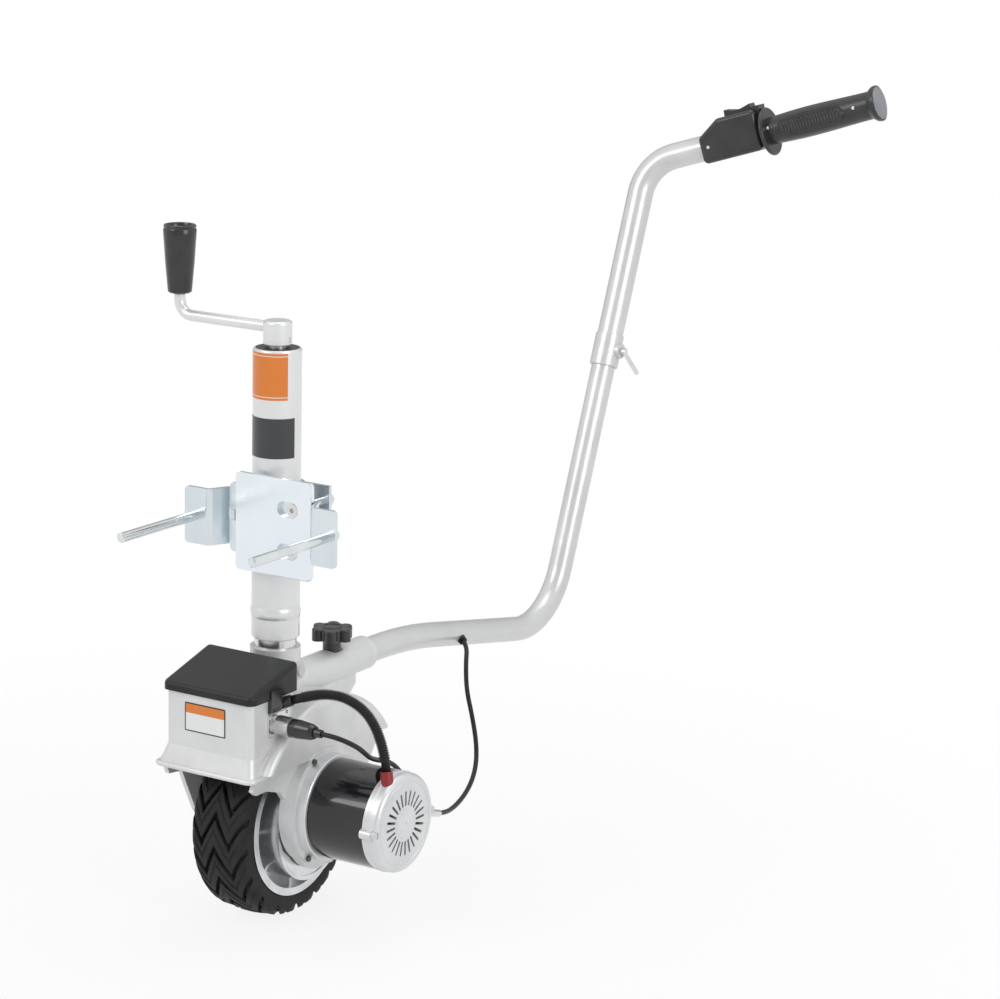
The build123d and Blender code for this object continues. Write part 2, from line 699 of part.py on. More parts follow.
# Control board on four posts, with the parts that stand on it
board_z = -206.0
board_t = 1.6
with BuildPart() as control_board:
    with BuildSketch(Plane.XY.offset(board_z)):
        with Locations((0, -89)):
            Rectangle(90, 30)
    extrude(amount=board_t)
    for post_y, post_foot in ((-101, box_foot + 3), (-81, board_z - 5.2)):
        with BuildSketch(Plane.XY.offset(post_foot)):
            with Locations((-40, post_y), (40, post_y)):
                Circle(2.5)
        extrude(amount=board_z - post_foot)
control_board.part.label = "control_board"
export_step(control_board.part, "parts/control_board.step")
with BuildPart() as board_parts:
    with BuildSketch(Plane.XY.offset(board_z + board_t)):
        with Locations((-33, -93), (-12, -93), (9, -93), (30, -93)):
            Rectangle(18, 15)
    extrude(amount=16)
    with BuildSketch(Plane.XY.offset(board_z + board_t)):
        with Locations((-20, -79.5)):
            Rectangle(36, 8)
        with Locations((25, -79.5)):
            Rectangle(30, 8)
    extrude(amount=9)
board_parts.part.label = "board_parts"
export_step(board_parts.part, "parts/board_parts.step")

# Blank label plate on the box's front
with BuildPart() as box_label:
    with BuildSketch(Plane.XZ.offset(-box_front)):
        with Locations((-3.5, -184.5)):
            RectangleRounded(49, 29, 1)
    extrude(amount=0.35)
box_label.part.label = "box_label"
export_step(box_label.part, "parts/box_label.step")

# Socket plate on the box's motor side and the round plug in it
plug_y = -71.0
plug_z = -188.0
plate_x1 = box_half + 2.2
barrel_end = 73.0
plug_end = 100.0
relief_end = 108.0
cable_r = 2.5
with BuildPart() as socket_plate:
    with BuildSketch(across(box_half, -67, plug_z)):
        RectangleRounded(34, 23, 3)
    extrude(amount=plate_x1 - box_half)
    with BuildSketch(across(plate_x1, -67, plug_z)):
        with GridLocations(28, 17, 2, 2):
            Circle(1.9)
    extrude(amount=1.4)
    with BuildSketch(across(box_half - 1, arch_y, arch_z)):
        Circle(arch_r + 0.1)
    extrude(amount=10, mode=Mode.SUBTRACT)
socket_plate.part.label = "socket_plate"
export_step(socket_plate.part, "parts/socket_plate.step")
with BuildPart() as plug:
    with BuildSketch(Plane(origin=(0, plug_y, plug_z), x_dir=(1, 0, 0), z_dir=(0, -1, 0))):
        with BuildLine():
            Polyline((plate_x1, 0), (plate_x1, 9), (plate_x1 + 3, 9), (plate_x1 + 3, 10),
                     (barrel_end, 10), (barrel_end, 9.4), (barrel_end + 8, 9.4), (plug_end - 4, 8),
                     (plug_end, 6.4), (plug_end, 4.6), (relief_end, 4.0), (relief_end, 0),
                     (plate_x1, 0))
        make_face()
    revolve(axis=Axis((0, plug_y, plug_z), (1, 0, 0)))
plug.part.label = "plug"
export_step(plug.part, "parts/plug.step")

# Control cable from the plug round behind the motor up to the handle
cable_points = [(relief_end, plug_y, plug_z), (121, -71, -188), (133, -65, -192.5),
                (138, -53, -200.5), (136, -38, -210.5), (130, -20, -221), (124, 2, -230),
                (121, 26, -238), (120.5, 46, -252), (122, 56, -270), (125, 63, -288),
                (126.5, 80, -304), (122, 121, -318.5), (110, 163, -326.5), (97, 210, -322.5), (85, 243.5, -310), (73, 263, -290), (60, 273.5, -264),
                (47, 281, -238), (36, 296, -214), (25.9, 313.7, -201.5), (16.2, 320.2, -198.7)]


def bend_radii(points):
    """Largest tangent radius at each corner: 0.45 of the shorter run."""
    out = []
    for a, b, c in zip(points, points[1:], points[2:]):
        run_in = Vector(*b) - Vector(*a)
        run_out = Vector(*c) - Vector(*b)
        turn = radians(run_in.get_angle(run_out))
        out.append(0.45 * min(run_in.length, run_out.length) / tan(turn / 2))
    return out


cable_radii = bend_radii(cable_points)
print("control_cable radii", [round(r, 1) for r in cable_radii])
with BuildPart() as control_cable:
    with BuildLine() as cable_line:
        FilletPolyline(*cable_points, radius=cable_radii)
    with BuildSketch(Plane(origin=cable_points[0], z_dir=(1, 0, 0))):
        Circle(cable_r)
    sweep()
control_cable.part.label = "control_cable"
export_step(control_cable.part, "parts/control_cable.step")
cable_length = cable_line.wire().length
print("control_cable length", round(cable_length, 1), "volume", round(control_cable.part.volume),
      "section x length", round(pi * cable_r ** 2 * cable_length))

# Crimped sleeve on the cable, behind the motor
sleeve_y0 = 88.0
cable_sleeve_len = 28.0
grommet_way = (Vector(*cable_points[-1]) - Vector(*cable_points[-2])).normalized()
with BuildPart() as cable_sleeve:
    with BuildLine():
        add(cable_line.wire())
    with BuildSketch(Plane(origin=cable_points[0], z_dir=(1, 0, 0))):
        Circle(cable_r + 1.4)
        Circle(cable_r + 0.02, mode=Mode.SUBTRACT)
    sweep()
    with BuildSketch(Plane.XZ.offset(-sleeve_y0)):
        with Locations((120, -310)):
            Rectangle(80, 80)
    extrude(amount=-cable_sleeve_len, mode=Mode.INTERSECT)
cable_sleeve.part.label = "cable_sleeve"
export_step(cable_sleeve.part, "parts/cable_sleeve.step")

# Grommet where the cable enters the handle
with BuildPart() as cable_grommet:
    with BuildSketch(Plane(origin=cable_points[-1], z_dir=grommet_way)):
        Circle(4.6)
    extrude(amount=16, taper=-4)
    with BuildSketch(Plane(origin=(0, 229, boss_z), x_dir=(1, 0, 0),
                           z_dir=(0, -cos(radians(10.46)), sin(radians(10.46))))):
        Circle(lower_r + seat)
    extrude(amount=-300, mode=Mode.SUBTRACT)
cable_grommet.part.label = "cable_grommet"
export_step(cable_grommet.part, "parts/cable_grommet.step")

# Gland on the box for the motor's lead
can_top = motor_z + can_r
lead_points = [(60, -54.0, -166.5), (73, -48, -161.7), (90, -39.5, -158.2), (107, -30, -161.2),
               (124, -22.4, -172.6), (136, -18.4, -190.2), (145, -16.6, can_top + 20.2),
               (148.5, -18.8, can_top + 5.2)]
lead_r = 5.3
lead_root = 4.6
lead_bore = 3.9
lead_start = (Vector(*lead_points[1]) - Vector(*lead_points[0])).normalized()
lead_end = (Vector(*lead_points[-1]) - Vector(*lead_points[-2])).normalized()
with BuildPart() as box_gland:
    with BuildSketch(Plane(origin=lead_points[0], z_dir=-lead_start)):
        Circle(lead_r + 0.5)
    extrude(amount=13)
    with BuildSketch(Plane.YZ.offset(box_half)):
        Rectangle(600, 600)
    extrude(amount=-50, mode=Mode.SUBTRACT)
box_gland.part.label = "box_gland"
export_step(box_gland.part, "parts/box_gland.step")

# Ribbed conduit of the motor's lead: one straight diameter at each end, ribs between
lead_radii = bend_radii(lead_points)
print("motor_lead radii", [round(r, 1) for r in lead_radii])
rib_count = 54
with BuildLine() as lead_line:
    FilletPolyline(*lead_points, radius=lead_radii)
lead_path = lead_line.wire()
lead_length = lead_path.length


def lead_plane(distance):
    """Plane across the conduit's middle line at a distance along it."""
    t = distance / lead_length
    way = lead_path % t
    return Plane(origin=lead_path @ t, x_dir=(Vector(0, 1, 0) - way * way.Y).normalized(), z_dir=way)


rib_pitch = (lead_length - 4 * lead_r) / rib_count
stations = [(0.0, lead_root)]
for rib in range(rib_count):
    start = 2 * lead_r + rib * rib_pitch
    stations += [(start, lead_root), (start + 0.28 * rib_pitch, lead_r),
                 (start + 0.55 * rib_pitch, lead_r), (start + 0.83 * rib_pitch, lead_root)]
stations += [(lead_length, lead_root)]
with BuildPart() as motor_lead:
    for distance, radius in stations:
        with BuildSketch(lead_plane(distance)):
            Circle(radius)
    loft(ruled=True)
    with BuildLine():
        add(lead_path)
    with BuildSketch(lead_plane(0)):
        Circle(lead_bore)
    sweep(mode=Mode.SUBTRACT)
motor_lead.part.label = "motor_lead"
export_step(motor_lead.part, "parts/motor_lead.step")
print("motor_lead length", round(lead_length, 1), "volume", round(motor_lead.part.volume),
      "plain tube volume", round(pi * (lead_root ** 2 - lead_bore ** 2) * lead_length),
      "valid", motor_lead.part.is_valid, "ribs", rib_count)

# Inner jack tube with the head ring that hangs on the nut's hub
bolt_z = collar_top - 22
bolt_r = 5.0
with BuildPart() as inner_tube:
    with BuildSketch(Plane.XZ):
        with BuildLine():
            Polyline((inner_bore, socket_floor), (inner_r, socket_floor), (inner_r, inner_top - 1),
                     (inner_r - 1, inner_top), (nut_hub_r + fit, inner_top),
                     (nut_hub_r + fit, inner_top - head_ring_t), (inner_bore, inner_top - head_ring_t),
                     (inner_bore, socket_floor))
        make_face()
    revolve(axis=Axis.Z)
    with BuildSketch(Plane.YZ.offset(-40)):
        with Locations((0, bolt_z)):
            Circle(bolt_r + seat)
    extrude(amount=80, mode=Mode.SUBTRACT)
inner_tube.part.label = "inner_tube"
export_step(inner_tube.part, "parts/inner_tube.step")

# Lower handle: level in its socket, a slight fall, then a long rise
dip_y = 229.0
turn_y = 521.5
turn_z = -230.0
rise_angle = 69.3
bend_soft = 600.0
bend_low = 82.0
lower_reach = 414.0   # from the low bend's corner to the open end
rise = Vector(0, cos(radians(rise_angle)), sin(radians(rise_angle)))
turn_point = Vector(0, turn_y, turn_z)
with BuildPart() as lower_handle:
    with BuildLine() as lower_line:
        FilletPolyline((0, socket_start + 1, boss_z), (0, dip_y, boss_z), turn_point,
                       turn_point + rise * lower_reach, radius=[bend_soft, bend_low])
    with BuildSketch(Plane(origin=(0, socket_start + 1, boss_z), x_dir=(1, 0, 0), z_dir=(0, 1, 0))):
        Circle(lower_r)
        Circle(lower_r - lower_wall, mode=Mode.SUBTRACT)
    sweep()
lower_handle.part.label = "lower_handle"
export_step(lower_handle.part, "parts/lower_handle.step")

# Upper handle: telescopes on the lower one, then bends round towards the motor side
upper_wall = 1.15
upper_bore = lower_r + fit
upper_r = upper_bore + upper_wall
sleeve_len = 37.0
sleeve_t = 1.45
bend_high = 49.5
collar_reach = 304.0  # from the low bend's corner to the foot of the sleeve
upper_reach = 237.9   # from the sleeve's foot to the high bend's corner
lever_up = 18.8
housing_s = 41.0
housing_len = 74.0
foot_point = turn_point + rise * collar_reach
high_point = foot_point + rise * upper_reach
grip_way = Vector(0.948, 0.094, 0.305).normalized()
grip_turn = radians(rise.get_angle(grip_way))
bend_point = high_point + grip_way * (bend_high * tan(grip_turn / 2))
side_way = grip_way.cross(Vector(-0.3036, -0.0301, 0.9523)).normalized()
grip_plane = Plane(origin=bend_point, x_dir=grip_way, z_dir=side_way)
lever_point = foot_point + rise * lever_up
lever_r = 4.0


def grip_at(s):
    """Plane across the grip at s along it."""
    return Plane(origin=bend_point + grip_way * s, x_dir=side_way, z_dir=grip_way)


lever_plane = Plane(origin=(0, lever_point.Y, lever_point.Z), x_dir=(0, 1, 0), z_dir=(1, 0, 0))
with BuildPart() as upper_tube:
    with BuildLine() as upper_line:
        FilletPolyline(foot_point, high_point, bend_point + grip_way * (housing_s + housing_len),
                       radius=bend_high)
    with BuildSketch(Plane(origin=foot_point, x_dir=(1, 0, 0), z_dir=rise)):
        Circle(upper_r)
        Circle(upper_bore, mode=Mode.SUBTRACT)
    sweep()
    with BuildSketch(lever_plane):
        Circle(lever_r + fit)
    extrude(amount=30, mode=Mode.SUBTRACT)
upper_tube.part.label = "upper_tube"
export_step(upper_tube.part, "parts/upper_tube.step")

# Sleeve at the upper tube's foot with the boss of the lever screw
with BuildPart() as handle_sleeve:
    with BuildSketch(Plane(origin=foot_point - rise * 0.5, x_dir=(1, 0, 0), z_dir=rise)):
        Circle(upper_r + sleeve_t)
    extrude(amount=sleeve_len)
    chamfer(handle_sleeve.edges(), 0.6)
    with BuildSketch(lever_plane):
        Circle(lever_r + 4.5)
    extrude(amount=upper_r + 4.3)
    with BuildSketch(Plane(origin=foot_point - rise * 30, x_dir=(1, 0, 0), z_dir=rise)):
        Circle(upper_r + seat)
    extrude(amount=100, mode=Mode.SUBTRACT)
    with BuildSketch(lever_plane):
        Circle(lever_r + fit)
    extrude(amount=60, mode=Mode.SUBTRACT)
handle_sleeve.part.label = "handle_sleeve"
export_step(handle_sleeve.part, "parts/handle_sleeve.step")

# Lever screw: pinches the lower handle through the sleeve
boss_face = upper_r + 4.3
lever_wire = 2.5
lever_len = 44.0
with BuildPart() as lever_screw:
    with BuildSketch(Plane(origin=(lower_r + 0.15, lever_point.Y, lever_point.Z), x_dir=(0, 1, 0),
                           z_dir=(1, 0, 0))):
        Circle(lever_r)
    extrude(amount=boss_face + 6 - lower_r)
    with BuildSketch(Plane(origin=(boss_face + 3.2, lever_point.Y, lever_point.Z),
                           x_dir=(1, 0, 0), z_dir=(0, 28.0, -26.8))):
        Circle(lever_wire)
    extrude(amount=lever_len)
    fillet(lever_screw.faces().sort_by(Axis.Y)[-1].edges(), 1.6)
lever_screw.part.label = "lever_screw"
export_step(lever_screw.part, "parts/lever_screw.step")

# Switch housing round the tube's end, with a well for the rocker and a ribbed tab
housing_h0 = -18.0
housing_h1 = 29.0
housing_half = 19.0
housing_corner = 6.0
rocker_s = 92.0
rocker_half = 17.0
pivot_h = 25.5
pivot_r = 2.0
with BuildPart() as switch_housing:
    with BuildSketch(Plane(origin=grip_plane.origin - side_way * housing_half, x_dir=grip_way,
                           z_dir=side_way)) as housing_side:
        Polygon((housing_s, housing_h0), (housing_s + housing_len, housing_h0),
                (housing_s + housing_len, housing_h1), (housing_s + 27, housing_h1),
                (housing_s, 12), align=None)
        fillet(housing_side.vertices(), housing_corner)
    extrude(amount=2 * housing_half)
    fillet(switch_housing.edges().filter_by(lambda e: abs(abs((e.center() - grip_plane.origin).dot(side_way))
                                                          - housing_half) < 0.1), 5)
    with BuildSketch(Plane(origin=grip_plane.origin - side_way * 8, x_dir=grip_way, z_dir=side_way)):
        with Locations((rocker_s, housing_h1)):
            Rectangle(2 * rocker_half + 4, 2 * (housing_h1 - 17))
    extrude(amount=16, mode=Mode.SUBTRACT)
    with BuildSketch(Plane(origin=grip_plane.origin - side_way * 9, x_dir=grip_way, z_dir=side_way)):
        Polygon((housing_s + housing_len - 9, 22), (housing_s + housing_len + 3, 22),
                (housing_s + housing_len + 4, 32), (housing_s + housing_len - 2, 32),
                (housing_s + housing_len - 9, housing_h1), align=None)
        for step in range(4):
            with Locations((housing_s + housing_len + 4.2, 23.5 + 2.2 * step)):
                Rectangle(1.6, 1.0, mode=Mode.SUBTRACT)
    extrude(amount=18, mode=Mode.ADD)
    with BuildSketch(Plane(origin=grip_plane.origin - side_way * 9, x_dir=grip_way, z_dir=side_way)):
        with Locations((rocker_s, housing_h1)):
            Rectangle(2 * rocker_half + 4, 14)
    extrude(amount=18, mode=Mode.SUBTRACT)
    with BuildSketch(grip_at(housing_s - 5)):
        Circle(upper_r + seat)
    extrude(amount=housing_len + 20, mode=Mode.SUBTRACT)
    with BuildSketch(Plane(origin=grip_plane.origin - side_way * 13, x_dir=grip_way, z_dir=side_way)):
        with Locations((rocker_s, pivot_h)):
            Circle(pivot_r + fit)
    extrude(amount=26, mode=Mode.SUBTRACT)
switch_housing.part.label = "switch_housing"
export_step(switch_housing.part, "parts/switch_housing.step")

# Rocker on its pin
with BuildPart() as rocker:
    with BuildSketch(Plane(origin=grip_plane.origin - side_way * 7.6, x_dir=grip_way, z_dir=side_way)):
        Polygon((rocker_s - rocker_half, 24), (rocker_s - rocker_half + 3, 21.5),
                (rocker_s + rocker_half - 3, 21.5), (rocker_s + rocker_half, 24),
                (rocker_s + rocker_half - 1, 36), (rocker_s + 4, 33), (rocker_s - 4, 33),
                (rocker_s - rocker_half + 1, 36), align=None)
    extrude(amount=15.2)
    with BuildSketch(Plane(origin=grip_plane.origin - side_way * 12.8, x_dir=grip_way, z_dir=side_way)):
        with Locations((rocker_s, pivot_h)):
            Circle(pivot_r)
    extrude(amount=25.6)
rocker.part.label = "rocker"
export_step(rocker.part, "parts/rocker.step")

# Grip with its flange, a ribbed pad on the side and a spigot into the tube
grip_s = housing_s + housing_len + 4.5
grip_end_s = 256.0
grip_bore = 11.0
pad_s = 178.0
with BuildPart() as handle_grip:
    with BuildSketch(grip_plane):
        with BuildLine():
            Polyline((grip_s - 26, grip_bore), (grip_s - 26, upper_bore - seat),
                     (grip_s, upper_bore - seat), (grip_s, 24.5))
            RadiusArc((grip_s, 24.5), (grip_s + 1.5, 26), 1.5)
            Line((grip_s + 1.5, 26), (grip_s + 2.5, 26))
            RadiusArc((grip_s + 2.5, 26), (grip_s + 4, 24.5), 1.5)
            Line((grip_s + 4, 24.5), (grip_s + 4.5, 15.5))
            Spline((grip_s + 4.5, 15.5), (grip_s + 40, 16.9), (grip_s + 95, 16.2),
                   (grip_end_s - 10, 15.6), tangents=((1, 0.03), (1, 0)))
            Polyline((grip_end_s - 10, 15.6), (grip_end_s - 5, 19.2), (grip_end_s - 3, 20),
                     (grip_end_s, 20), (grip_end_s, 18.2), (grip_end_s - 1.5, 18.2),
                     (grip_end_s - 1.5, grip_bore), (grip_s - 26, grip_bore))
        make_face()
    revolve(axis=Axis(bend_point, grip_way))
    with BuildSketch(Plane(origin=grip_plane.origin + side_way * 12, x_dir=grip_way, z_dir=side_way)):
        with Locations((pad_s, 0)):
            SlotOverall(80, 20)
    extrude(amount=5.6)
    with BuildSketch(Plane(origin=grip_plane.origin + side_way * 17, x_dir=grip_way, z_dir=side_way)):
        with Locations((pad_s, 0)):
            with GridLocations(6, 1, 11, 1):
                Rectangle(2.2, 15)
    extrude(amount=5, mode=Mode.SUBTRACT)
handle_grip.part.label = "handle_grip"
export_step(handle_grip.part, "parts/handle_grip.step")

# Plug in the grip's end
with BuildPart() as grip_plug:
    with BuildSketch(grip_at(grip_end_s - 1.5)):
        Circle(18.1)
    extrude(amount=2.6)
    fillet(grip_plug.faces().sort_by(Axis(bend_point, grip_way))[-1].edges(), 0.8)
    with BuildSketch(grip_at(grip_end_s - 16)):
        Circle(grip_bore - seat)
    extrude(amount=15)
grip_plug.part.label = "grip_plug"
export_step(grip_plug.part, "parts/grip_plug.step")

# Knob that clamps the lower handle in its socket
knob_r = 22.0
knob_foot = -148.5
knob_top = -135.5
with BuildPart() as socket_knob:
    with BuildSketch(Plane.XY.offset(boss_z + lower_r + fit)):
        with Locations((0, knob_y)):
            Circle(knob_screw_r)
    extrude(amount=knob_foot - boss_z - lower_r - fit)
    with BuildSketch(Plane.XY.offset(knob_seat_z + fit)):
        with Locations((0, knob_y)):
            Circle(9.5)
    extrude(amount=knob_foot - knob_seat_z - fit)
    with BuildSketch(Plane.XY.offset(knob_foot)):
        with Locations((0, knob_y)):
            Circle(knob_r - 6)
            with PolarLocations(knob_r - 6.5, 6):
                Circle(6.5)
    extrude(amount=knob_top - knob_foot)
    fillet(socket_knob.faces().sort_by(Axis.Z)[-1].edges(), 2.0)
socket_knob.part.label = "socket_knob"
export_step(socket_knob.part, "parts/socket_knob.step")

# Wheel rim: barrel with two lips, web with ribs, hub and the drum towards the motor
barrel_r = 72.0
barrel_t = 3.0
web_x = 4.0
web_t = 5.0
with BuildPart() as wheel_rim:
    with BuildSketch(section()):
        with Locations((0, barrel_r - barrel_t / 2)):
            Rectangle(tyre_w, barrel_t)
        with Locations((tyre_w / 2 - lip_t / 2, (lip_r + barrel_r - 1) / 2),
                       (-tyre_w / 2 + lip_t / 2, (lip_r + barrel_r - 1) / 2)):
            Rectangle(lip_t, lip_r - barrel_r + 1)
        with Locations((web_x + web_t / 2, (barrel_r + hub_od / 2 - 2) / 2)):
            Rectangle(web_t, barrel_r - hub_od / 2 + 1)
        with Locations(((web_x + drum_end) / 2, drum_r - drum_wall / 2)):
            Rectangle(drum_end - web_x, drum_wall)
        with Locations((0, (bearing_r + hub_od / 2) / 2)):
            Rectangle(2 * hub_half, hub_od / 2 - bearing_r)
        with Locations((0, (axle_r + 1 + bearing_r + 1) / 2)):
            Rectangle(2 * (hub_half - bearing_w), bearing_r - axle_r)
    revolve(axis=wheel_axis)
    with BuildSketch(across(web_x + web_t - 1)):
        with PolarLocations((drum_r + barrel_r - barrel_t) / 2, 8):
            Rectangle(barrel_r - barrel_t - drum_r + 1.6, 4.0)
    extrude(amount=14)
    with BuildSketch(across(web_x + 1)):
        with PolarLocations((barrel_r - barrel_t + hub_od / 2) / 2, 8):
            Rectangle(barrel_r - barrel_t - hub_od / 2 + 3, 3.4)
    extrude(amount=-20)
wheel_rim.part.label = "wheel_rim"
export_step(wheel_rim.part, "parts/wheel_rim.step")

# Tyre with two rows of slanted blocks
groove_depth = 4.5
block_count = 22
with BuildPart() as tyre:
    with BuildSketch(section()):
        with BuildLine():
            inside = tyre_w / 2 - lip_t - 0.02
            Polyline((-inside, barrel_r + 0.02), (-inside, lip_r + 0.05), (-tyre_w / 2, lip_r + 0.6),
                     (-tyre_w / 2, 88))
            ThreePointArc((-tyre_w / 2, 88), (-tyre_w / 2 + 3.2, 95.4), (-tyre_w / 2 + 10, tyre_r - 1.2))
            ThreePointArc((-tyre_w / 2 + 10, tyre_r - 1.2), (0, tyre_r), (tyre_w / 2 - 10, tyre_r - 1.2))
            ThreePointArc((tyre_w / 2 - 10, tyre_r - 1.2), (tyre_w / 2 - 3.2, 95.4), (tyre_w / 2, 88))
            Polyline((tyre_w / 2, 88), (tyre_w / 2, lip_r + 0.6), (inside, lip_r + 0.05),
                     (inside, barrel_r + 0.02), (-inside, barrel_r + 0.02))
        make_face()
    revolve(axis=wheel_axis)
with BuildPart() as tread_cut:
    for block in range(block_count):
        for row in (-1, 1):
            turn = 360 / block_count * (block + (0.25 if row > 0 else -0.25))
            spoke = Plane(origin=(row * (tyre_w / 4 + 1), axle_y, axle_z), x_dir=(1, 0, 0),
                          z_dir=(0, cos(radians(turn)), sin(radians(turn))))
            with BuildSketch(spoke.rotated((0, 0, row * 32)).offset(tyre_r - groove_depth)):
                Rectangle(tyre_w / 2 + 6, 5.2)
            extrude(amount=10)
with BuildPart(mode=Mode.PRIVATE) as tread_ring:
    with BuildSketch(section()):
        with Locations((0, tyre_r + 5)):
            Rectangle(4.6, 10 + 2 * groove_depth)
    revolve(axis=wheel_axis)
tyre_body = tyre.part - tread_cut.part - tread_ring.part
tyre_body.label = "tyre"
export_step(tyre_body, "parts/tyre.step")
print("tyre solids", len(tyre_body.solids()))

# Two wheel bearings
with BuildPart() as wheel_bearings:
    for x in (-hub_half, hub_half - bearing_w):
        with BuildSketch(across(x)):
            Circle(bearing_r - 0.02)
            Circle(axle_r + 0.02, mode=Mode.SUBTRACT)
        extrude(amount=bearing_w)
wheel_bearings.part.label = "wheel_bearings"
export_step(wheel_bearings.part, "parts/wheel_bearings.step")

# Axle with its two spacers and the nut outside the arm
axle_nut_t = 8.0
with BuildPart() as wheel_axle:
    with BuildSketch(across(arm_x0 - axle_nut_t - 3)):
        Circle(axle_r)
    extrude(amount=cheek_x0 + cheek_t - 0.1 - arm_x0 + axle_nut_t + 3)
    chamfer(wheel_axle.faces().sort_by(Axis.X)[0].edges(), 1.0)
    with BuildSketch(across(body_left + 0.05)):
        Circle(axle_r + 2.6)
        Circle(axle_r + 0.03, mode=Mode.SUBTRACT)
    extrude(amount=-hub_half - fit - body_left - 0.05, mode=Mode.ADD)
    with BuildSketch(across(hub_half + fit)):
        Circle(axle_r + 2.6)
    extrude(amount=cheek_x0 - 0.05 - hub_half - fit)
    with BuildSketch(across(arm_x0 - 0.02)):
        RegularPolygon(16, 6)
    extrude(amount=-axle_nut_t)
wheel_axle.part.label = "wheel_axle"
export_step(wheel_axle.part, "parts/wheel_axle.step")

# Gear ring in the drum: its pitch circle is the smooth bore
pinion_r = 9.0
ring_pitch = pinion_r + motor_z - axle_z
mesh_gap = 0.15
gear_x0 = 36.5
gear_x1 = 47.5
with BuildPart() as ring_gear:
    with BuildSketch(across(gear_x0)):
        Circle(drum_r - drum_wall - 0.02)
        Circle(ring_pitch + mesh_gap, mode=Mode.SUBTRACT)
    extrude(amount=gear_x1 - gear_x0)
ring_gear.part.label = "ring_gear"
export_step(ring_gear.part, "parts/ring_gear.step")

# Planet stage between the motor and the pinion
sun_r = 6.0
planet_r = 15.0
planet_orbit = sun_r + planet_r
fixed_r = planet_orbit + planet_r
planet_x0 = 59.4
planet_x1 = 66.6
disc_x0 = cheek_x0 + cheek_t + 0.5
with BuildPart() as planet_ring:
    with BuildSketch(across(disc_x0 + 2.5, axle_y, motor_z)):
        Circle(case_r - case_wall - 0.03)
        Circle(fixed_r + mesh_gap, mode=Mode.SUBTRACT)
    extrude(amount=ring_x0 - disc_x0 - 2.55)
planet_ring.part.label = "planet_ring"
export_step(planet_ring.part, "parts/planet_ring.step")
with BuildPart() as planet_carrier:
    with BuildSketch(across(gear_x0, axle_y, motor_z)):
        Circle(pinion_r - mesh_gap)
    extrude(amount=disc_x0 - gear_x0)
    with BuildSketch(across(disc_x0, axle_y, motor_z)):
        Circle(planet_orbit + 6)
    extrude(amount=3)
    with BuildSketch(across(disc_x0, axle_y, motor_z)):
        with PolarLocations(planet_orbit, 3):
            Circle(3)
    extrude(amount=planet_x1 + 0.8 - disc_x0)
planet_carrier.part.label = "planet_carrier"
export_step(planet_carrier.part, "parts/planet_carrier.step")
with BuildPart() as planets:
    with BuildSketch(across(planet_x0, axle_y, motor_z)):
        with PolarLocations(planet_orbit, 3):
            Circle(planet_r - mesh_gap)
            Circle(3 + fit, mode=Mode.SUBTRACT)
    extrude(amount=planet_x1 - planet_x0)
planets.part.label = "planets"
export_step(planets.part, "parts/planets.step")

# Motor: flange on the gear case, can, end cap with vents and two screw ears
flange_room = 5.0
bearing_out = 8.0
cap_room_x = 155.0
cap_wall = 4.0
with BuildPart() as motor_flange:
    with BuildSketch(across(ring_x0, axle_y, motor_z)):
        Circle(ring_r)
    extrude(amount=ring_x1 - ring_x0)
    chamfer(motor_flange.faces().sort_by(Axis.X)[-1].edges(), 1.0)
    with BuildSketch(across(ring_x0, axle_y, motor_z)):
        Circle(planet_orbit + planet_r + 2)
    extrude(amount=flange_room, mode=Mode.SUBTRACT)
    with BuildSketch(across(ring_x0, axle_y, motor_z)):
        Circle(bearing_out + 0.02)
    extrude(amount=20, mode=Mode.SUBTRACT)
motor_flange.part.label = "motor_flange"
export_step(motor_flange.part, "parts/motor_flange.step")
with BuildPart() as motor_can:
    with BuildSketch(across(ring_x1, axle_y, motor_z)):
        Circle(can_r)
        Circle(can_r - can_wall, mode=Mode.SUBTRACT)
    extrude(amount=can_x1 - ring_x1)
motor_can.part.label = "motor_can"
export_step(motor_can.part, "parts/motor_can.step")
ear_y = can_r - 0.2
with BuildPart() as motor_cap:
    with BuildSketch(across(can_x1, axle_y, motor_z)):
        Circle(can_r - 0.2)
    extrude(amount=cap_x1 - can_x1)
    fillet(motor_cap.faces().sort_by(Axis.X)[-1].edges(), 5.5)
    with BuildSketch(across(can_x1, axle_y, motor_z)):
        with Locations((-ear_y, 0), (ear_y, 0)):
            Circle(5.2)
    extrude(amount=cap_x1 - can_x1 - 5)
    with BuildSketch(across(can_x1, axle_y, motor_z)):
        Circle(can_r - 0.2 - cap_wall)
        Circle(bearing_out + 5, mode=Mode.SUBTRACT)
    extrude(amount=cap_room_x - can_x1, mode=Mode.SUBTRACT)
    with BuildSketch(across(can_x1, axle_y, motor_z)):
        Circle(bearing_out + 5)
    extrude(amount=5.5, mode=Mode.SUBTRACT)
    with BuildSketch(across(can_x1, axle_y, motor_z)):
        Circle(bearing_out + 0.02)
    extrude(amount=cap_room_x - can_x1, mode=Mode.SUBTRACT)
    with BuildSketch(across(cap_x1 - 5, axle_y, motor_z)):
        with Locations((-ear_y, 0), (ear_y, 0)):
            Circle(4.3)
    extrude(amount=10, mode=Mode.SUBTRACT)
    with BuildSketch(across(cap_room_x - 1, axle_y, motor_z)):
        with PolarLocations(can_r / 2 + 0.4, 24):
            SlotOverall(15, 2.6)
    extrude(amount=10, mode=Mode.SUBTRACT)
motor_cap.part.label = "motor_cap"
export_step(motor_cap.part, "parts/motor_cap.step")
print("motor_cap solids", len(motor_cap.solids()))
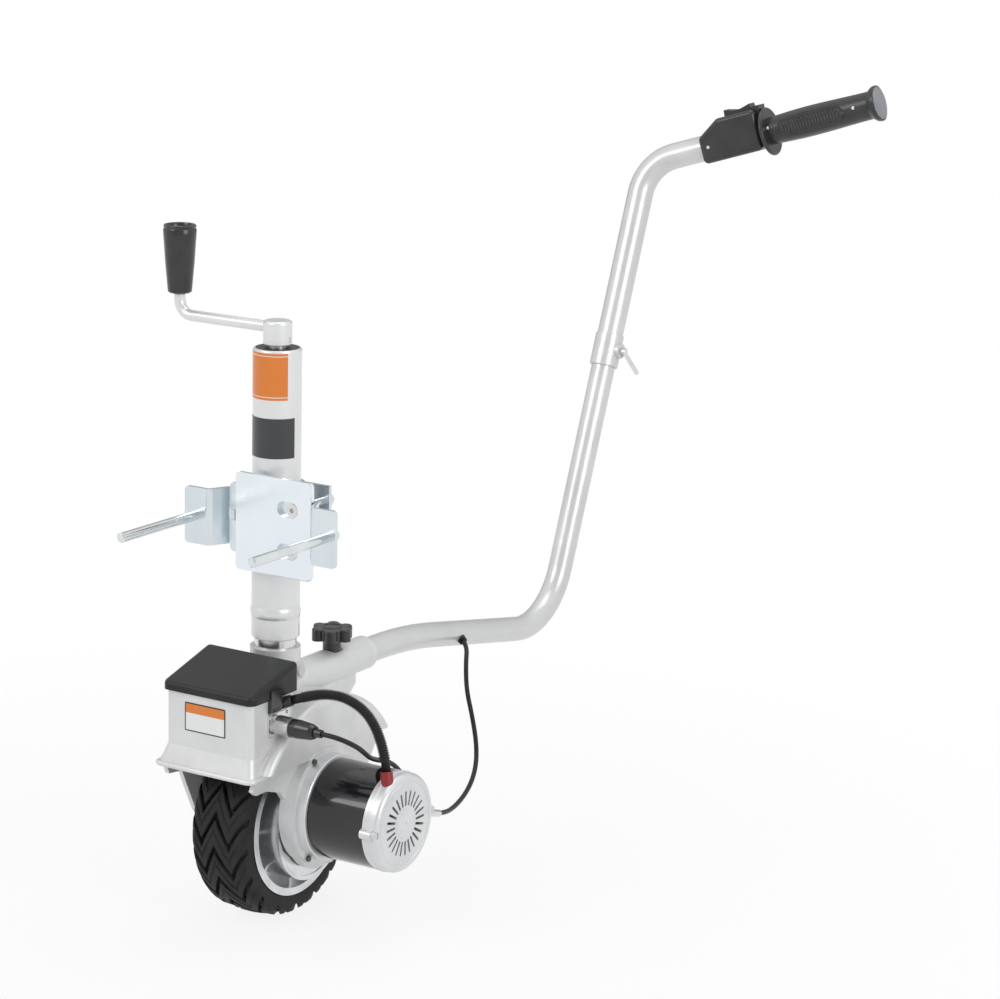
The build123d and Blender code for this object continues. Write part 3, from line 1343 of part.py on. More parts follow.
with BuildPart() as motor_bearings:
    for x in (ring_x0 + flange_room + 0.5, cap_room_x - 6.5):
        with BuildSketch(across(x, axle_y, motor_z)):
            Circle(bearing_out)
            Circle(shaft_r + fit, mode=Mode.SUBTRACT)
        extrude(amount=5)
motor_bearings.part.label = "motor_bearings"
export_step(motor_bearings.part, "parts/motor_bearings.step")

# Magnets in the can
rotor_r = 32.0
core_x0 = 88.0
core_x1 = 128.0
with BuildPart() as magnets:
    with BuildSketch(across(core_x0 - 3, axle_y, motor_z)):
        Circle(can_r - can_wall - 0.05)
        Circle(rotor_r + 1.2, mode=Mode.SUBTRACT)
        Rectangle(14, 120, mode=Mode.SUBTRACT)
    extrude(amount=core_x1 - core_x0 + 6)
magnets.part.label = "magnets"
export_step(magnets.part, "parts/magnets.step")

# Brush holder and its two brushes on the commutator
comm_r = 14.0
comm_x0 = 131.0
comm_x1 = 141.0
with BuildPart() as brushes:
    with BuildSketch(across(comm_x0 + 1, axle_y, motor_z)):
        Circle(can_r - can_wall - 0.05)
        Circle(24, mode=Mode.SUBTRACT)
    extrude(amount=comm_x1 - comm_x0 - 2)
    with BuildSketch(across(comm_x0 + 2, axle_y, motor_z)):
        with Locations((comm_r + 6, 0), (-comm_r - 6, 0)):
            Rectangle(11.6, 9)
    extrude(amount=comm_x1 - comm_x0 - 4)
brushes.part.label = "brushes"
export_step(brushes.part, "parts/brushes.step")

# Rotor: shaft with the sun pinion, core and commutator
with BuildPart() as rotor:
    with BuildSketch(section(axle_y, motor_z)):
        with BuildLine():
            Polyline((planet_x0, 0), (planet_x0, sun_r - mesh_gap), (planet_x1, sun_r - mesh_gap),
                     (planet_x1, shaft_r), (core_x0, shaft_r), (core_x0, rotor_r), (core_x1, rotor_r),
                     (core_x1, shaft_r + 3), (comm_x0, shaft_r + 3), (comm_x0, comm_r),
                     (comm_x1, comm_r), (comm_x1, shaft_r), (cap_room_x - 0.5, shaft_r),
                     (cap_room_x - 0.5, 0), (planet_x0, 0))
        make_face()
    revolve(axis=motor_axis)
rotor.part.label = "rotor"
export_step(rotor.part, "parts/rotor.step")

# Screws of the cast body: cross bolt of the jack tube, cap screws and flange screws
case_screw_turn = -125.0
with BuildPart() as body_screws:
    with BuildSketch(Plane.YZ.offset(-collar_r - 5)):
        with Locations((0, bolt_z)):
            Circle(bolt_r)
    extrude(amount=2 * collar_r + 13)
    for x in (-collar_r - 0.02, collar_r + 5.52):
        with BuildSketch(Plane.YZ.offset(x)):
            with Locations((0, bolt_z)):
                RegularPolygon(9.2, 6)
        extrude(amount=-5.5)
    with BuildSketch(across(cap_x1 - 5, axle_y, motor_z)):
        with Locations((-ear_y, 0), (ear_y, 0)):
            Circle(4.2)
    extrude(amount=3.5)
    with BuildSketch(across(case_x1, axle_y, motor_z)):
        with PolarLocations(case_r - 3.1, 3, start_angle=case_screw_turn):
            Circle(2.9)
    extrude(amount=2.6)
body_screws.part.label = "body_screws"
export_step(body_screws.part, "parts/body_screws.step")

# Sleeve where the lead enters the motor's cap
with BuildPart() as lead_sleeve:
    with BuildSketch(Plane(origin=lead_points[-1], z_dir=lead_end)):
        Circle(lead_r + 0.9)
    extrude(amount=20)
    with BuildSketch(across(can_x1 - 20, axle_y, motor_z)):
        Circle(can_r - 0.2 + 0.02)
    extrude(amount=60, mode=Mode.SUBTRACT)
lead_sleeve.part.label = "lead_sleeve"
export_step(lead_sleeve.part, "parts/lead_sleeve.step")
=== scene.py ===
# %% [markdown]
# Electric trailer dolly: the frame.
# The measured solids of the dolly are loaded first and never moved. Everything else in this
# lesson dresses them: finishes for the metal and plastic pieces, and new meshes for the tyre,
# the cords and the small details. Lengths are in metres, with +X towards the motor,
# +Y towards the steering handle and +Z up.

# %% Load the frame
import json
import math

import bmesh
import bpy
from mathutils import Matrix, Vector


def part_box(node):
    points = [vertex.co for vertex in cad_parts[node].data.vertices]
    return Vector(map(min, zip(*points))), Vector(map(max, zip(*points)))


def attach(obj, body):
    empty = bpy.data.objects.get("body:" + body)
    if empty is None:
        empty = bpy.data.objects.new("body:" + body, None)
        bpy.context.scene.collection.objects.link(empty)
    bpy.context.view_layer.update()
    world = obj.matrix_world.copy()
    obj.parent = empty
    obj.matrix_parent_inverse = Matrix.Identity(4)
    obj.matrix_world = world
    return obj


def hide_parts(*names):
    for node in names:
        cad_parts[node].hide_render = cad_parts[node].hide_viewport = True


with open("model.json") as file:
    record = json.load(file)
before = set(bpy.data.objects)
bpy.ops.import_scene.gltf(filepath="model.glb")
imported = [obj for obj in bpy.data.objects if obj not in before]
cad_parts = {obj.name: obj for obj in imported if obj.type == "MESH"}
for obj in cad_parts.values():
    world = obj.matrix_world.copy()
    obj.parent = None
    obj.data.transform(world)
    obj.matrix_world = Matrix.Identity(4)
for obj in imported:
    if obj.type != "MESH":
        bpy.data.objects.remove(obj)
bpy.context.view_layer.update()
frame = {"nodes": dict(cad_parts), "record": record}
nodes = frame["nodes"]

# %% [markdown]
# Camera.
# A product photograph like this one is taken with a long lens, a little above the object.
# The camera could be placed by eye, but the lens, place and tilt were fitted to measured
# points of the tube, the wheel and the box, so they are written here as numbers.
# The rows are the camera's right, its down and its forward direction.

# %% Camera
RIGHT = Vector((0.84394, 0.53594, 0.02297))
DOWN = Vector((0.14252, -0.18272, -0.97278))
FORWARD = Vector((-0.51716, 0.82424, -0.23059))
CAMERA_PLACE = Vector((1.88760, -2.59418, 0.77955))
LENS_MM, SENSOR_MM = 120.24, 36.0


def add_object(name, data):
    """An object of the scene that shows the data, at the origin."""
    piece = bpy.data.objects.new(name, data)
    bpy.context.scene.collection.objects.link(piece)
    return piece


camera_data = bpy.data.cameras.new("studio_camera")
camera_data.sensor_width = SENSOR_MM
camera_data.lens = LENS_MM
camera_data.clip_end = 50.0
camera = add_object("studio_camera", camera_data)
turn = Matrix((RIGHT, -DOWN, -FORWARD)).transposed().to_4x4()
camera.matrix_world = Matrix.Translation(CAMERA_PLACE) @ turn
bpy.context.scene.camera = camera
print("camera at", tuple(round(c, 3) for c in camera.location))

# %% [markdown]
# Floor.
# The photograph has a white ground with hardly any shadow. The floor could be left out, but
# a pale one under the wheel keeps the soft shadow. It is nearly clear to the camera, so the
# wheel still shows when the jack lowers it, and quite clear further out, where its edge
# would show against the white.

# %% Helpers for meshes and materials, and the floor
FLOOR_Z, FLOOR_HALF = -0.4098, 6.0
FADE_FROM, FADE_TO = 0.45, 1.10


def link_mesh(name, bm):
    """Turn a bmesh into an object of the scene and free it."""
    mesh = bpy.data.meshes.new(name)
    bm.to_mesh(mesh)
    bm.free()
    return add_object(name, mesh)


def node_tree(name):
    """A new material with an empty tree, its main shader and its output."""
    material = bpy.data.materials.new(name)
    material.use_nodes = True
    tree = material.node_tree
    tree.nodes.clear()
    out = tree.nodes.new("ShaderNodeOutputMaterial")
    shader = tree.nodes.new("ShaderNodeBsdfPrincipled")
    tree.links.new(shader.outputs["BSDF"], out.inputs["Surface"])
    return material, tree, shader, out


def add_node(tree, kind, values=None, operation=None):
    """A new node of a tree, with its operation and the values of some of its inputs."""
    node = tree.nodes.new(kind)
    if operation:
        node.operation = operation
    set_values(node, values or {})
    return node


def set_values(node, values):
    """Give inputs of a node, by name or number, their own values."""
    for socket, value in values.items():
        node.inputs[socket].default_value = value


def seen_directly(tree):
    """1 for the rays that show the backdrop itself, 0 for the light it gives off."""
    rays = add_node(tree, "ShaderNodeLightPath")
    seen = rays.outputs["Is Camera Ray"]
    for ray in ("Is Glossy Ray", "Is Transmission Ray"):
        both = add_node(tree, "ShaderNodeMath", operation="MAXIMUM")
        tree.links.new(seen, both.inputs[0])
        tree.links.new(rays.outputs[ray], both.inputs[1])
        seen = both.outputs[0]
    return seen


bm = bmesh.new()
bmesh.ops.create_grid(bm, x_segments=1, y_segments=1, size=FLOOR_HALF,
                      matrix=Matrix.Translation((0, 0, FLOOR_Z)))
floor = link_mesh("studio_floor", bm)
floor_paint, tree, shader, out = node_tree("floor_paint")
set_values(shader, {"Base Color": (0.88, 0.88, 0.88, 1), "Roughness": 0.9,
                    "Specular IOR Level": 0.1})
spot = add_node(tree, "ShaderNodeTexCoord")
far = add_node(tree, "ShaderNodeVectorMath", operation="LENGTH")
fade = add_node(tree, "ShaderNodeMapRange", {"From Min": FADE_FROM, "From Max": FADE_TO,
                                             "To Min": 0.86, "To Max": 1.0})
part_glow = add_node(tree, "ShaderNodeMath", operation="MULTIPLY")
glow = add_node(tree, "ShaderNodeEmission")
clear = add_node(tree, "ShaderNodeBsdfTransparent")
camera_ray = add_node(tree, "ShaderNodeLightPath")
ground = add_node(tree, "ShaderNodeMixShader")
blend = add_node(tree, "ShaderNodeMixShader")
link = tree.links.new
link(spot.outputs["Object"], far.inputs[0])
link(far.outputs["Value"], fade.inputs["Value"])
link(seen_directly(tree), part_glow.inputs[0])
link(fade.outputs["Result"], part_glow.inputs[1])
link(camera_ray.outputs["Is Camera Ray"], ground.inputs["Fac"])
link(glow.outputs["Emission"], ground.inputs[1])
link(clear.outputs["BSDF"], ground.inputs[2])
link(part_glow.outputs[0], blend.inputs["Fac"])
link(shader.outputs["BSDF"], blend.inputs[1])
link(ground.outputs["Shader"], blend.inputs[2])
link(blend.outputs["Shader"], out.inputs["Surface"])
floor.data.materials.append(floor_paint)
print("floor at", FLOOR_Z, "fades from", FADE_FROM, "to", FADE_TO)

# %% [markdown]
# Light.
# The world shows white to the camera and gives a moderate light otherwise, and large soft
# lamps light the metal. Polished metal only looks like metal when what it mirrors varies,
# and a plain white world would leave the plated pieces flat. So reflections show a light
# tent: white at the sides, a little darker behind the camera and darker again far ahead,
# which draws the thin grey edges on the tubes.

# %% World: white to see, moderate light, a tent in the reflections
BEHIND, AHEAD = (0.70, 0.71, 0.72, 1), (0.40, 0.41, 0.42, 1)
TENT_LEVELS = ((0.12, 0.72), (0.30, 1.0), (0.72, 1.0), (0.90, 0.45))
world = bpy.data.worlds.new("studio_world")
bpy.context.scene.world = world
world.use_nodes = True
tree = world.node_tree
tree.nodes.clear()
out = add_node(tree, "ShaderNodeOutputWorld")
soft = add_node(tree, "ShaderNodeBackground", {"Color": (0.95, 0.97, 1.0, 1), "Strength": 0.50})
white = add_node(tree, "ShaderNodeBackground", {"Color": (1, 1, 1, 1), "Strength": 1.0})
mirrored = add_node(tree, "ShaderNodeBackground")
sight = add_node(tree, "ShaderNodeTexCoord")
ahead = add_node(tree, "ShaderNodeVectorMath", {1: FORWARD}, "DOT_PRODUCT")
half = add_node(tree, "ShaderNodeMath", {1: 0.5, 2: 0.5}, "MULTIPLY_ADD")
tent = add_node(tree, "ShaderNodeValToRGB")
stops = tent.color_ramp.elements
stops[0].position, stops[0].color = 0.0, BEHIND
stops[1].position, stops[1].color = 1.0, AHEAD
for position, level in TENT_LEVELS:
    stops.new(position).color = (level, level, level, 1)
rays = add_node(tree, "ShaderNodeLightPath")
plain = add_node(tree, "ShaderNodeMixShader")
split = add_node(tree, "ShaderNodeMixShader")
link = tree.links.new
link(seen_directly(tree), plain.inputs["Fac"])
link(soft.outputs["Background"], plain.inputs[1])
link(white.outputs["Background"], plain.inputs[2])
link(sight.outputs["Generated"], ahead.inputs[0])
link(ahead.outputs["Value"], half.inputs[0])
link(half.outputs[0], tent.inputs["Fac"])
link(tent.outputs["Color"], mirrored.inputs["Color"])
link(rays.outputs["Is Glossy Ray"], split.inputs["Fac"])
link(plain.outputs["Shader"], split.inputs[1])
link(mirrored.outputs["Background"], split.inputs[2])
link(split.outputs["Shader"], out.inputs["Surface"])
print("world of", len(tree.nodes), "nodes and", len(stops), "tent levels")

# %% Three soft lamps
AIM = Vector((0.1, 0.2, -0.1))
LAMPS = (("key_lamp", (-1.2, -2.6, 2.2), 1.6, 35), ("side_lamp", (2.8, -0.6, 1.0), 1.4, 24),
         ("top_lamp", (0.2, 0.6, 2.9), 1.8, 18))
for name, place, size, power in LAMPS:
    data = bpy.data.lights.new(name, "AREA")
    data.size = size
    data.energy = power
    lamp = add_object(name, data)
    lamp.location = place
    lamp.rotation_euler = (AIM - Vector(place)).to_track_quat("-Z", "Y").to_euler()
bpy.context.scene.view_settings.view_transform = "Standard"
print("lamps:", [name for name, *_ in LAMPS])

# %% [markdown]
# Cords.
# Two leads hang free on the dolly: a ribbed conduit from the box to the motor, and a thin
# control cable that goes from its plug round behind the motor and up into the handle.
# Each could be a chain of straight tubes, but a smooth spline led by a few given points
# bends the way a real cable does. The points are the ones the solids were routed by.


# %% A smooth line along the route's points
def route_curve(name, points, radius):
    """An order 3 spline led by the points, as thick as their own radius says."""
    curve = bpy.data.curves.new(name, "CURVE")
    curve.dimensions = "3D"
    curve.resolution_u = 8
    curve.bevel_depth = 1.0 if radius else 0.0
    curve.bevel_resolution = 5
    spline = curve.splines.new("NURBS")
    spline.points.add(len(points) - 1)
    for place, control in zip(points, spline.points):
        control.co = (*place, 1.0)
        control.radius = radius
    spline.order_u = 3
    spline.use_endpoint_u = True
    return add_object(name, curve)


def line_points(name, points, step=24):
    """Points read from the smooth line, for a mesh that follows it."""
    guide = route_curve(name, points, 0.0)
    guide.data.resolution_u = step
    bpy.context.view_layer.update()
    mesh = bpy.data.meshes.new_from_object(guide)
    line = [v.co.copy() for v in mesh.vertices]
    bpy.data.objects.remove(guide)
    bpy.data.meshes.remove(mesh)
    return line


def path_length(points):
    """The length of the straight runs between the points."""
    return sum((Vector(b) - Vector(a)).length for a, b in zip(points, points[1:]))


CABLE_RADIUS = 0.0025
CABLE_POINTS = [(0.108, -0.071, -0.188), (0.121, -0.071, -0.188), (0.133, -0.065, -0.1925),
                (0.138, -0.053, -0.2005), (0.136, -0.038, -0.2105), (0.130, -0.020, -0.221),
                (0.124, 0.002, -0.230), (0.121, 0.026, -0.238), (0.1205, 0.046, -0.252),
                (0.122, 0.056, -0.270), (0.125, 0.063, -0.288), (0.1265, 0.080, -0.304),
                (0.122, 0.121, -0.3185), (0.110, 0.163, -0.3265), (0.097, 0.210, -0.3225),
                (0.085, 0.2435, -0.310), (0.073, 0.263, -0.290), (0.060, 0.2735, -0.264),
                (0.047, 0.281, -0.238), (0.036, 0.296, -0.214), (0.0259, 0.3137, -0.2015),
                (0.0162, 0.3202, -0.1987)]
cable = route_curve("control_cable_line", CABLE_POINTS, CABLE_RADIUS)
cable_length = path_length(line_points("cable_guide", CABLE_POINTS))
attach(cable, "drive")
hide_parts("control_cable")
print("control cable length", round(cable_length, 4), "runs", round(path_length(CABLE_POINTS), 4))

# %% [markdown]
# The ribbed conduit.
# Ribbed conduit is a thin tube moulded into rings so that it bends. One could stack separate
# rings, but a single turned tube with the rings in its profile, bent along the line
# afterwards, keeps its wall whole and its rings evenly spaced.

# %% Conduit: a turned ribbed tube, bent along its line
LEAD_POINTS = [(0.060, -0.0540, -0.1665), (0.073, -0.048, -0.1617), (0.090, -0.0395, -0.1582),
               (0.107, -0.030, -0.1612), (0.124, -0.0224, -0.1726), (0.136, -0.0184, -0.1902),
               (0.145, -0.0166, -0.217), (0.1485, -0.0188, -0.232)]
RIBS = 50
RIB_SHAPE = ((0.0, 0.0042), (0.20, 0.0042), (0.32, 0.0053), (0.54, 0.0054), (0.76, 0.0053),
             (0.88, 0.0042))
CUFF, RIBS_FROM = 0.0095, 0.010
CUFF_RADIUS, BORE_RADIUS = 0.0046, 0.0039
BORE_STEPS = 60


def along(line, distance):
    """Place and direction at a distance along a line of points."""
    for a, b in zip(line, line[1:]):
        step = (b - a).length
        if distance <= step or b is line[-1]:
            return a + (b - a) * (distance / step), (b - a).normalized()
        distance -= step


def turned(profile, steps):
    """A closed outline of (along, radius) pairs, spun round the X axis."""
    bm = bmesh.new()
    ring = [bm.verts.new((a, 0, r)) for a, r in profile]
    edges = [bm.edges.new(pair) for pair in zip(ring, ring[1:] + ring[:1])]
    bmesh.ops.spin(bm, geom=ring + edges, cent=(0, 0, 0), axis=(1, 0, 0), angle=2 * math.pi,
                   steps=steps, use_merge=True)
    bmesh.ops.remove_doubles(bm, verts=bm.verts, dist=1e-7)
    bmesh.ops.recalc_face_normals(bm, faces=bm.faces)
    return bm


def smooth(piece, angle=None):
    """Shade a piece smooth, but keep edges sharp where its faces turn by more than the angle."""
    for face in piece.data.polygons:
        face.use_smooth = True
    if angle is not None:
        piece.data.set_sharp_from_angle(angle=math.radians(angle))


lead_line = line_points("lead_guide", LEAD_POINTS)
lead_length = path_length(lead_line)
pitch = (lead_length - CUFF - RIBS_FROM) / RIBS
lead_profile = [(0.0, CUFF_RADIUS), (CUFF, CUFF_RADIUS)]
for rib in range(RIBS):
    at = RIBS_FROM + rib * pitch
    lead_profile += [(at + share * pitch, radius) for share, radius in RIB_SHAPE]
lead_profile += [(lead_length, CUFF_RADIUS)]
lead_profile += [(lead_length * (BORE_STEPS - step) / BORE_STEPS, BORE_RADIUS)
                 for step in range(BORE_STEPS + 1)]
bm = turned(lead_profile, 20)
for vert in bm.verts:
    place, way = along(lead_line, min(max(vert.co.x, 0.0), lead_length))
    side = (Vector((0, 1, 0)) - way * way.y).normalized()
    vert.co = place + side * vert.co.y + way.cross(side) * vert.co.z
bmesh.ops.recalc_face_normals(bm, faces=bm.faces)
conduit = link_mesh("motor_lead_conduit", bm)
smooth(conduit)
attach(conduit, "drive")
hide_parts("motor_lead")
print("conduit length", round(lead_length, 4), "ribs", RIBS)

# %% The names of both leads
print("cords declared:", cable.name, conduit.name)

# %% [markdown]
# Finishes.
# Sprayed and plated metal is never one flat colour: it has a little cloudiness in the tone,
# a slightly uneven gloss and a fine grain. These could be painted on by hand, but one helper
# builds them from noise on the piece's own coordinates, so each finish below is a few
# numbers: its two tones, its gloss range, how metallic it is, and the size and depth of its
# grain.


# %% Cloudy, grained finishes: the silver paints
def grained(name, tone, deep, gloss=(0.3, 0.4), metal=0.0, cloud=18.0, grain=900.0, depth=0.05,
            coat=0.0, glint=0.5):
    """A finish with cloudy tone, uneven gloss and fine grain on object coordinates."""
    material, tree, shader, _ = node_tree(name)
    set_values(shader, {"Metallic": metal, "Coat Weight": coat, "Specular IOR Level": glint})
    where = add_node(tree, "ShaderNodeTexCoord")
    clouds = add_node(tree, "ShaderNodeTexNoise", {"Scale": cloud, "Detail": 5.0})
    fine = add_node(tree, "ShaderNodeTexNoise", {"Scale": grain, "Detail": 3.0})
    tones = add_node(tree, "ShaderNodeValToRGB")
    low, high = tones.color_ramp.elements
    low.position, low.color = 0.30, (*deep, 1)
    high.position, high.color = 0.62, (*tone, 1)
    sheen = add_node(tree, "ShaderNodeMapRange", {"To Min": gloss[0], "To Max": gloss[1]})
    bump = add_node(tree, "ShaderNodeBump", {"Strength": depth, "Distance": 0.001})
    link = tree.links.new
    link(where.outputs["Object"], clouds.inputs["Vector"])
    link(where.outputs["Object"], fine.inputs["Vector"])
    link(clouds.outputs["Fac"], tones.inputs["Fac"])
    link(tones.outputs["Color"], shader.inputs["Base Color"])
    link(clouds.outputs["Fac"], sheen.inputs["Value"])
    link(sheen.outputs["Result"], shader.inputs["Roughness"])
    link(fine.outputs["Fac"], bump.inputs["Height"])
    link(bump.outputs["Normal"], shader.inputs["Normal"])
    return material


tube_paint = grained("tube_silver_paint", (0.80, 0.80, 0.795), (0.75, 0.75, 0.75), (0.25, 0.35),
                     metal=0.45, grain=1400, depth=0.03, coat=0.10)
handle_paint = grained("handle_silver_paint", (0.69, 0.69, 0.688), (0.63, 0.63, 0.63),
                       (0.28, 0.38), metal=0.45, grain=1400, depth=0.03, coat=0.08)
cast_paint = grained("casting_silver_paint", (0.76, 0.76, 0.757), (0.69, 0.69, 0.69),
                     (0.36, 0.48), metal=0.35, cloud=30, grain=800, depth=0.10)
print("silver paints:", tube_paint.name, handle_paint.name, cast_paint.name)

# %% Plated, bare and coated metals
zinc_plate = grained("bracket_zinc_plate", (0.82, 0.87, 0.91), (0.77, 0.83, 0.875),
                     (0.16, 0.26), metal=0.90, cloud=12, grain=700, depth=0.015)
# The strap and the plates behind the front plate take a darker copy of the bracket's zinc. This
# is painted shade, so the slots and the back of the bracket read dark.
zinc_painted_shade = grained("bracket_zinc_painted_shade", (0.71, 0.77, 0.80), (0.64, 0.70, 0.74),
                     (0.18, 0.28), metal=0.92, cloud=14, grain=700, depth=0.015)
stud_zinc = grained("stud_zinc", (0.74, 0.77, 0.77), (0.66, 0.70, 0.70), (0.14, 0.22),
                    metal=1.0, cloud=40, grain=900, depth=0.02)
bright_steel = grained("turned_steel", (0.72, 0.72, 0.73), (0.66, 0.66, 0.67), (0.18, 0.28),
                       metal=1.0, cloud=60, grain=600, depth=0.05)
dark_steel = grained("blackened_steel", (0.10, 0.10, 0.11), (0.05, 0.05, 0.055), (0.35, 0.5),
                     metal=0.8, cloud=90, grain=900, depth=0.06)
bronze = grained("bush_bronze", (0.66, 0.48, 0.26), (0.50, 0.34, 0.17), (0.25, 0.4), metal=1.0)
can_gloss = grained("motor_can_gloss_black", (0.012, 0.012, 0.014), (0.006, 0.006, 0.007),
                    (0.08, 0.14), cloud=14, grain=300, depth=0.015, coat=0.45, glint=0.35)
cap_silver = grained("motor_cap_silver", (0.74, 0.745, 0.75), (0.66, 0.665, 0.67), (0.30, 0.42),
                     metal=0.55, cloud=40, grain=1100, depth=0.10)
rim_silver = grained("rim_silver", (0.74, 0.75, 0.76), (0.60, 0.61, 0.62), (0.16, 0.30),
                     metal=0.9, cloud=50, grain=700, depth=0.05)
print("finishes so far:", len(bpy.data.materials))

# %% Plastics, rubber and the hidden board
lid_plastic = grained("lid_satin_black", (0.020, 0.020, 0.021), (0.012, 0.012, 0.013),
                      (0.26, 0.38), cloud=20, grain=1600, depth=0.12, glint=0.3)
hard_plastic = grained("handle_satin_black", (0.032, 0.032, 0.033), (0.020, 0.020, 0.021),
                       (0.18, 0.28), cloud=35, grain=1500, depth=0.06, glint=0.55)
grip_rubber = grained("grip_soft_black", (0.034, 0.034, 0.035), (0.022, 0.022, 0.022),
                      (0.24, 0.34), cloud=40, grain=1300, depth=0.08, glint=0.50)
tyre_rubber = grained("tyre_rubber", (0.026, 0.026, 0.027), (0.012, 0.012, 0.012), (0.55, 0.72),
                      cloud=45, grain=700, depth=0.20, glint=0.25)
disc_grey = grained("grip_disc_grey", (0.30, 0.31, 0.32), (0.24, 0.25, 0.26), (0.34, 0.46),
                    cloud=50, grain=1200, depth=0.08)
cable_sheath = grained("cable_sheath_black", (0.018, 0.018, 0.019), (0.010, 0.010, 0.010),
                       (0.36, 0.48), cloud=80, grain=1500, depth=0.08, glint=0.3)
red_rubber = grained("lead_sleeve_red", (0.34, 0.02, 0.02), (0.22, 0.012, 0.012), (0.35, 0.45))
board_green = grained("board_green", (0.02, 0.16, 0.07), (0.01, 0.10, 0.045), (0.3, 0.4))
print("finishes made:", len(bpy.data.materials))

# %% [markdown]
# Printed labels, and other pieces of two tones.
# The tube carries two wrapped labels and the box a small plate. They are one thin film each,
# so the bands of colour are made in the material from the height on the piece, which stays
# crisp at any size. An image could do it, but it would be tied to one resolution. What is
# printed on the real ones is left off: they are plain bands. The plug and the casting's
# screws change tone along X in the same way.


# %% Bands of colour by place on the piece
def mix_colours(tree, factor, low, high):
    """The mix of two colours, each a plain colour or a node's output, by a factor."""
    mixed = tree.nodes.new("ShaderNodeMix")
    mixed.data_type = "RGBA"
    tree.links.new(factor, mixed.inputs["Factor"])
    for socket, colour in (("A", low), ("B", high)):
        if isinstance(colour, tuple):
            mixed.inputs[socket].default_value = (*colour, 1)
        else:
            tree.links.new(colour, mixed.inputs[socket])
    return mixed.outputs["Result"]


def banded(name, bands, gloss=0.32, axis="Z", sides=None, metal_below=None):
    """Flat bands of colour: (start, colour) pairs from low to high, in metres.

    The first start isn't used. Within sides, a (middle, reach, colour) along X, the bands
    show, and the colour beside them. Below metal_below the piece is bare metal.
    """
    material, tree, shader, _ = node_tree(name)
    set_values(shader, {"Roughness": gloss, "Coat Weight": 0.2})
    where = add_node(tree, "ShaderNodeTexCoord")
    split = add_node(tree, "ShaderNodeSeparateXYZ")
    link = tree.links.new
    link(where.outputs["Object"], split.inputs["Vector"])
    colour = add_node(tree, "ShaderNodeRGB")
    colour.outputs[0].default_value = (*bands[0][1], 1)
    last = colour.outputs[0]
    for start, tone in bands[1:]:
        above = add_node(tree, "ShaderNodeMath", {1: start}, "GREATER_THAN")
        link(split.outputs[axis], above.inputs[0])
        last = mix_colours(tree, above.outputs[0], last, tone)
    if sides:
        middle, reach, tone = sides
        inside = add_node(tree, "ShaderNodeMath", {1: middle, 2: reach}, "COMPARE")
        link(split.outputs["X"], inside.inputs[0])
        last = mix_colours(tree, inside.outputs[0], tone, last)
    cloud = add_node(tree, "ShaderNodeTexNoise", {"Scale": 60})
    fade = add_node(tree, "ShaderNodeMapRange", {"To Min": 0.94, "To Max": 1.0})
    worn = add_node(tree, "ShaderNodeHueSaturation")
    bump = add_node(tree, "ShaderNodeBump", {"Strength": 0.03, "Distance": 0.001})
    link(where.outputs["Object"], cloud.inputs["Vector"])
    link(cloud.outputs["Fac"], fade.inputs["Value"])
    link(last, worn.inputs["Color"])
    link(fade.outputs["Result"], worn.inputs["Value"])
    link(worn.outputs["Color"], shader.inputs["Base Color"])
    link(cloud.outputs["Fac"], bump.inputs["Height"])
    link(bump.outputs["Normal"], shader.inputs["Normal"])
    if metal_below is not None:
        bare = add_node(tree, "ShaderNodeMath", {1: metal_below}, "LESS_THAN")
        link(split.outputs[axis], bare.inputs[0])
        link(bare.outputs[0], shader.inputs["Metallic"])
    return material


DARK, BLACK = (0.035, 0.037, 0.04), (0.012, 0.012, 0.013)
ORANGE, PALE, CREAM = (0.80, 0.22, 0.025), (0.90, 0.90, 0.89), (0.86, 0.80, 0.70)
PLUG_METAL_END = 0.0732
tube_film = banded("tube_label_film", [(0, DARK), (0.110, ORANGE), (0.1222, CREAM),
                                       (0.1230, ORANGE), (0.1628, CREAM), (0.1636, ORANGE)])
box_film = banded("box_label_film", [(0, BLACK), (-0.1978, PALE), (-0.1805, ORANGE),
                                     (-0.1713, BLACK)], sides=(-0.0035, 0.0233, BLACK))
plug_finish = banded("plug_metal_and_body", [(0, (0.62, 0.62, 0.62)), (PLUG_METAL_END, BLACK)],
                     gloss=0.26, axis="X", metal_below=PLUG_METAL_END)
screw_finish = banded("painted_and_plated_screws", [(0, (0.66, 0.66, 0.655)),
                                                    (0.050, (0.05, 0.05, 0.052)),
                                                    (0.100, (0.70, 0.70, 0.70))],
                      gloss=0.36, axis="X")
print("banded finishes:", tube_film.name, box_film.name, plug_finish.name, screw_finish.name)

# %% [markdown]
# Dressing the solids.
# Each solid already names the material it is made of, so its finish can follow from that
# name instead of being set one by one. A few pieces then get their own.

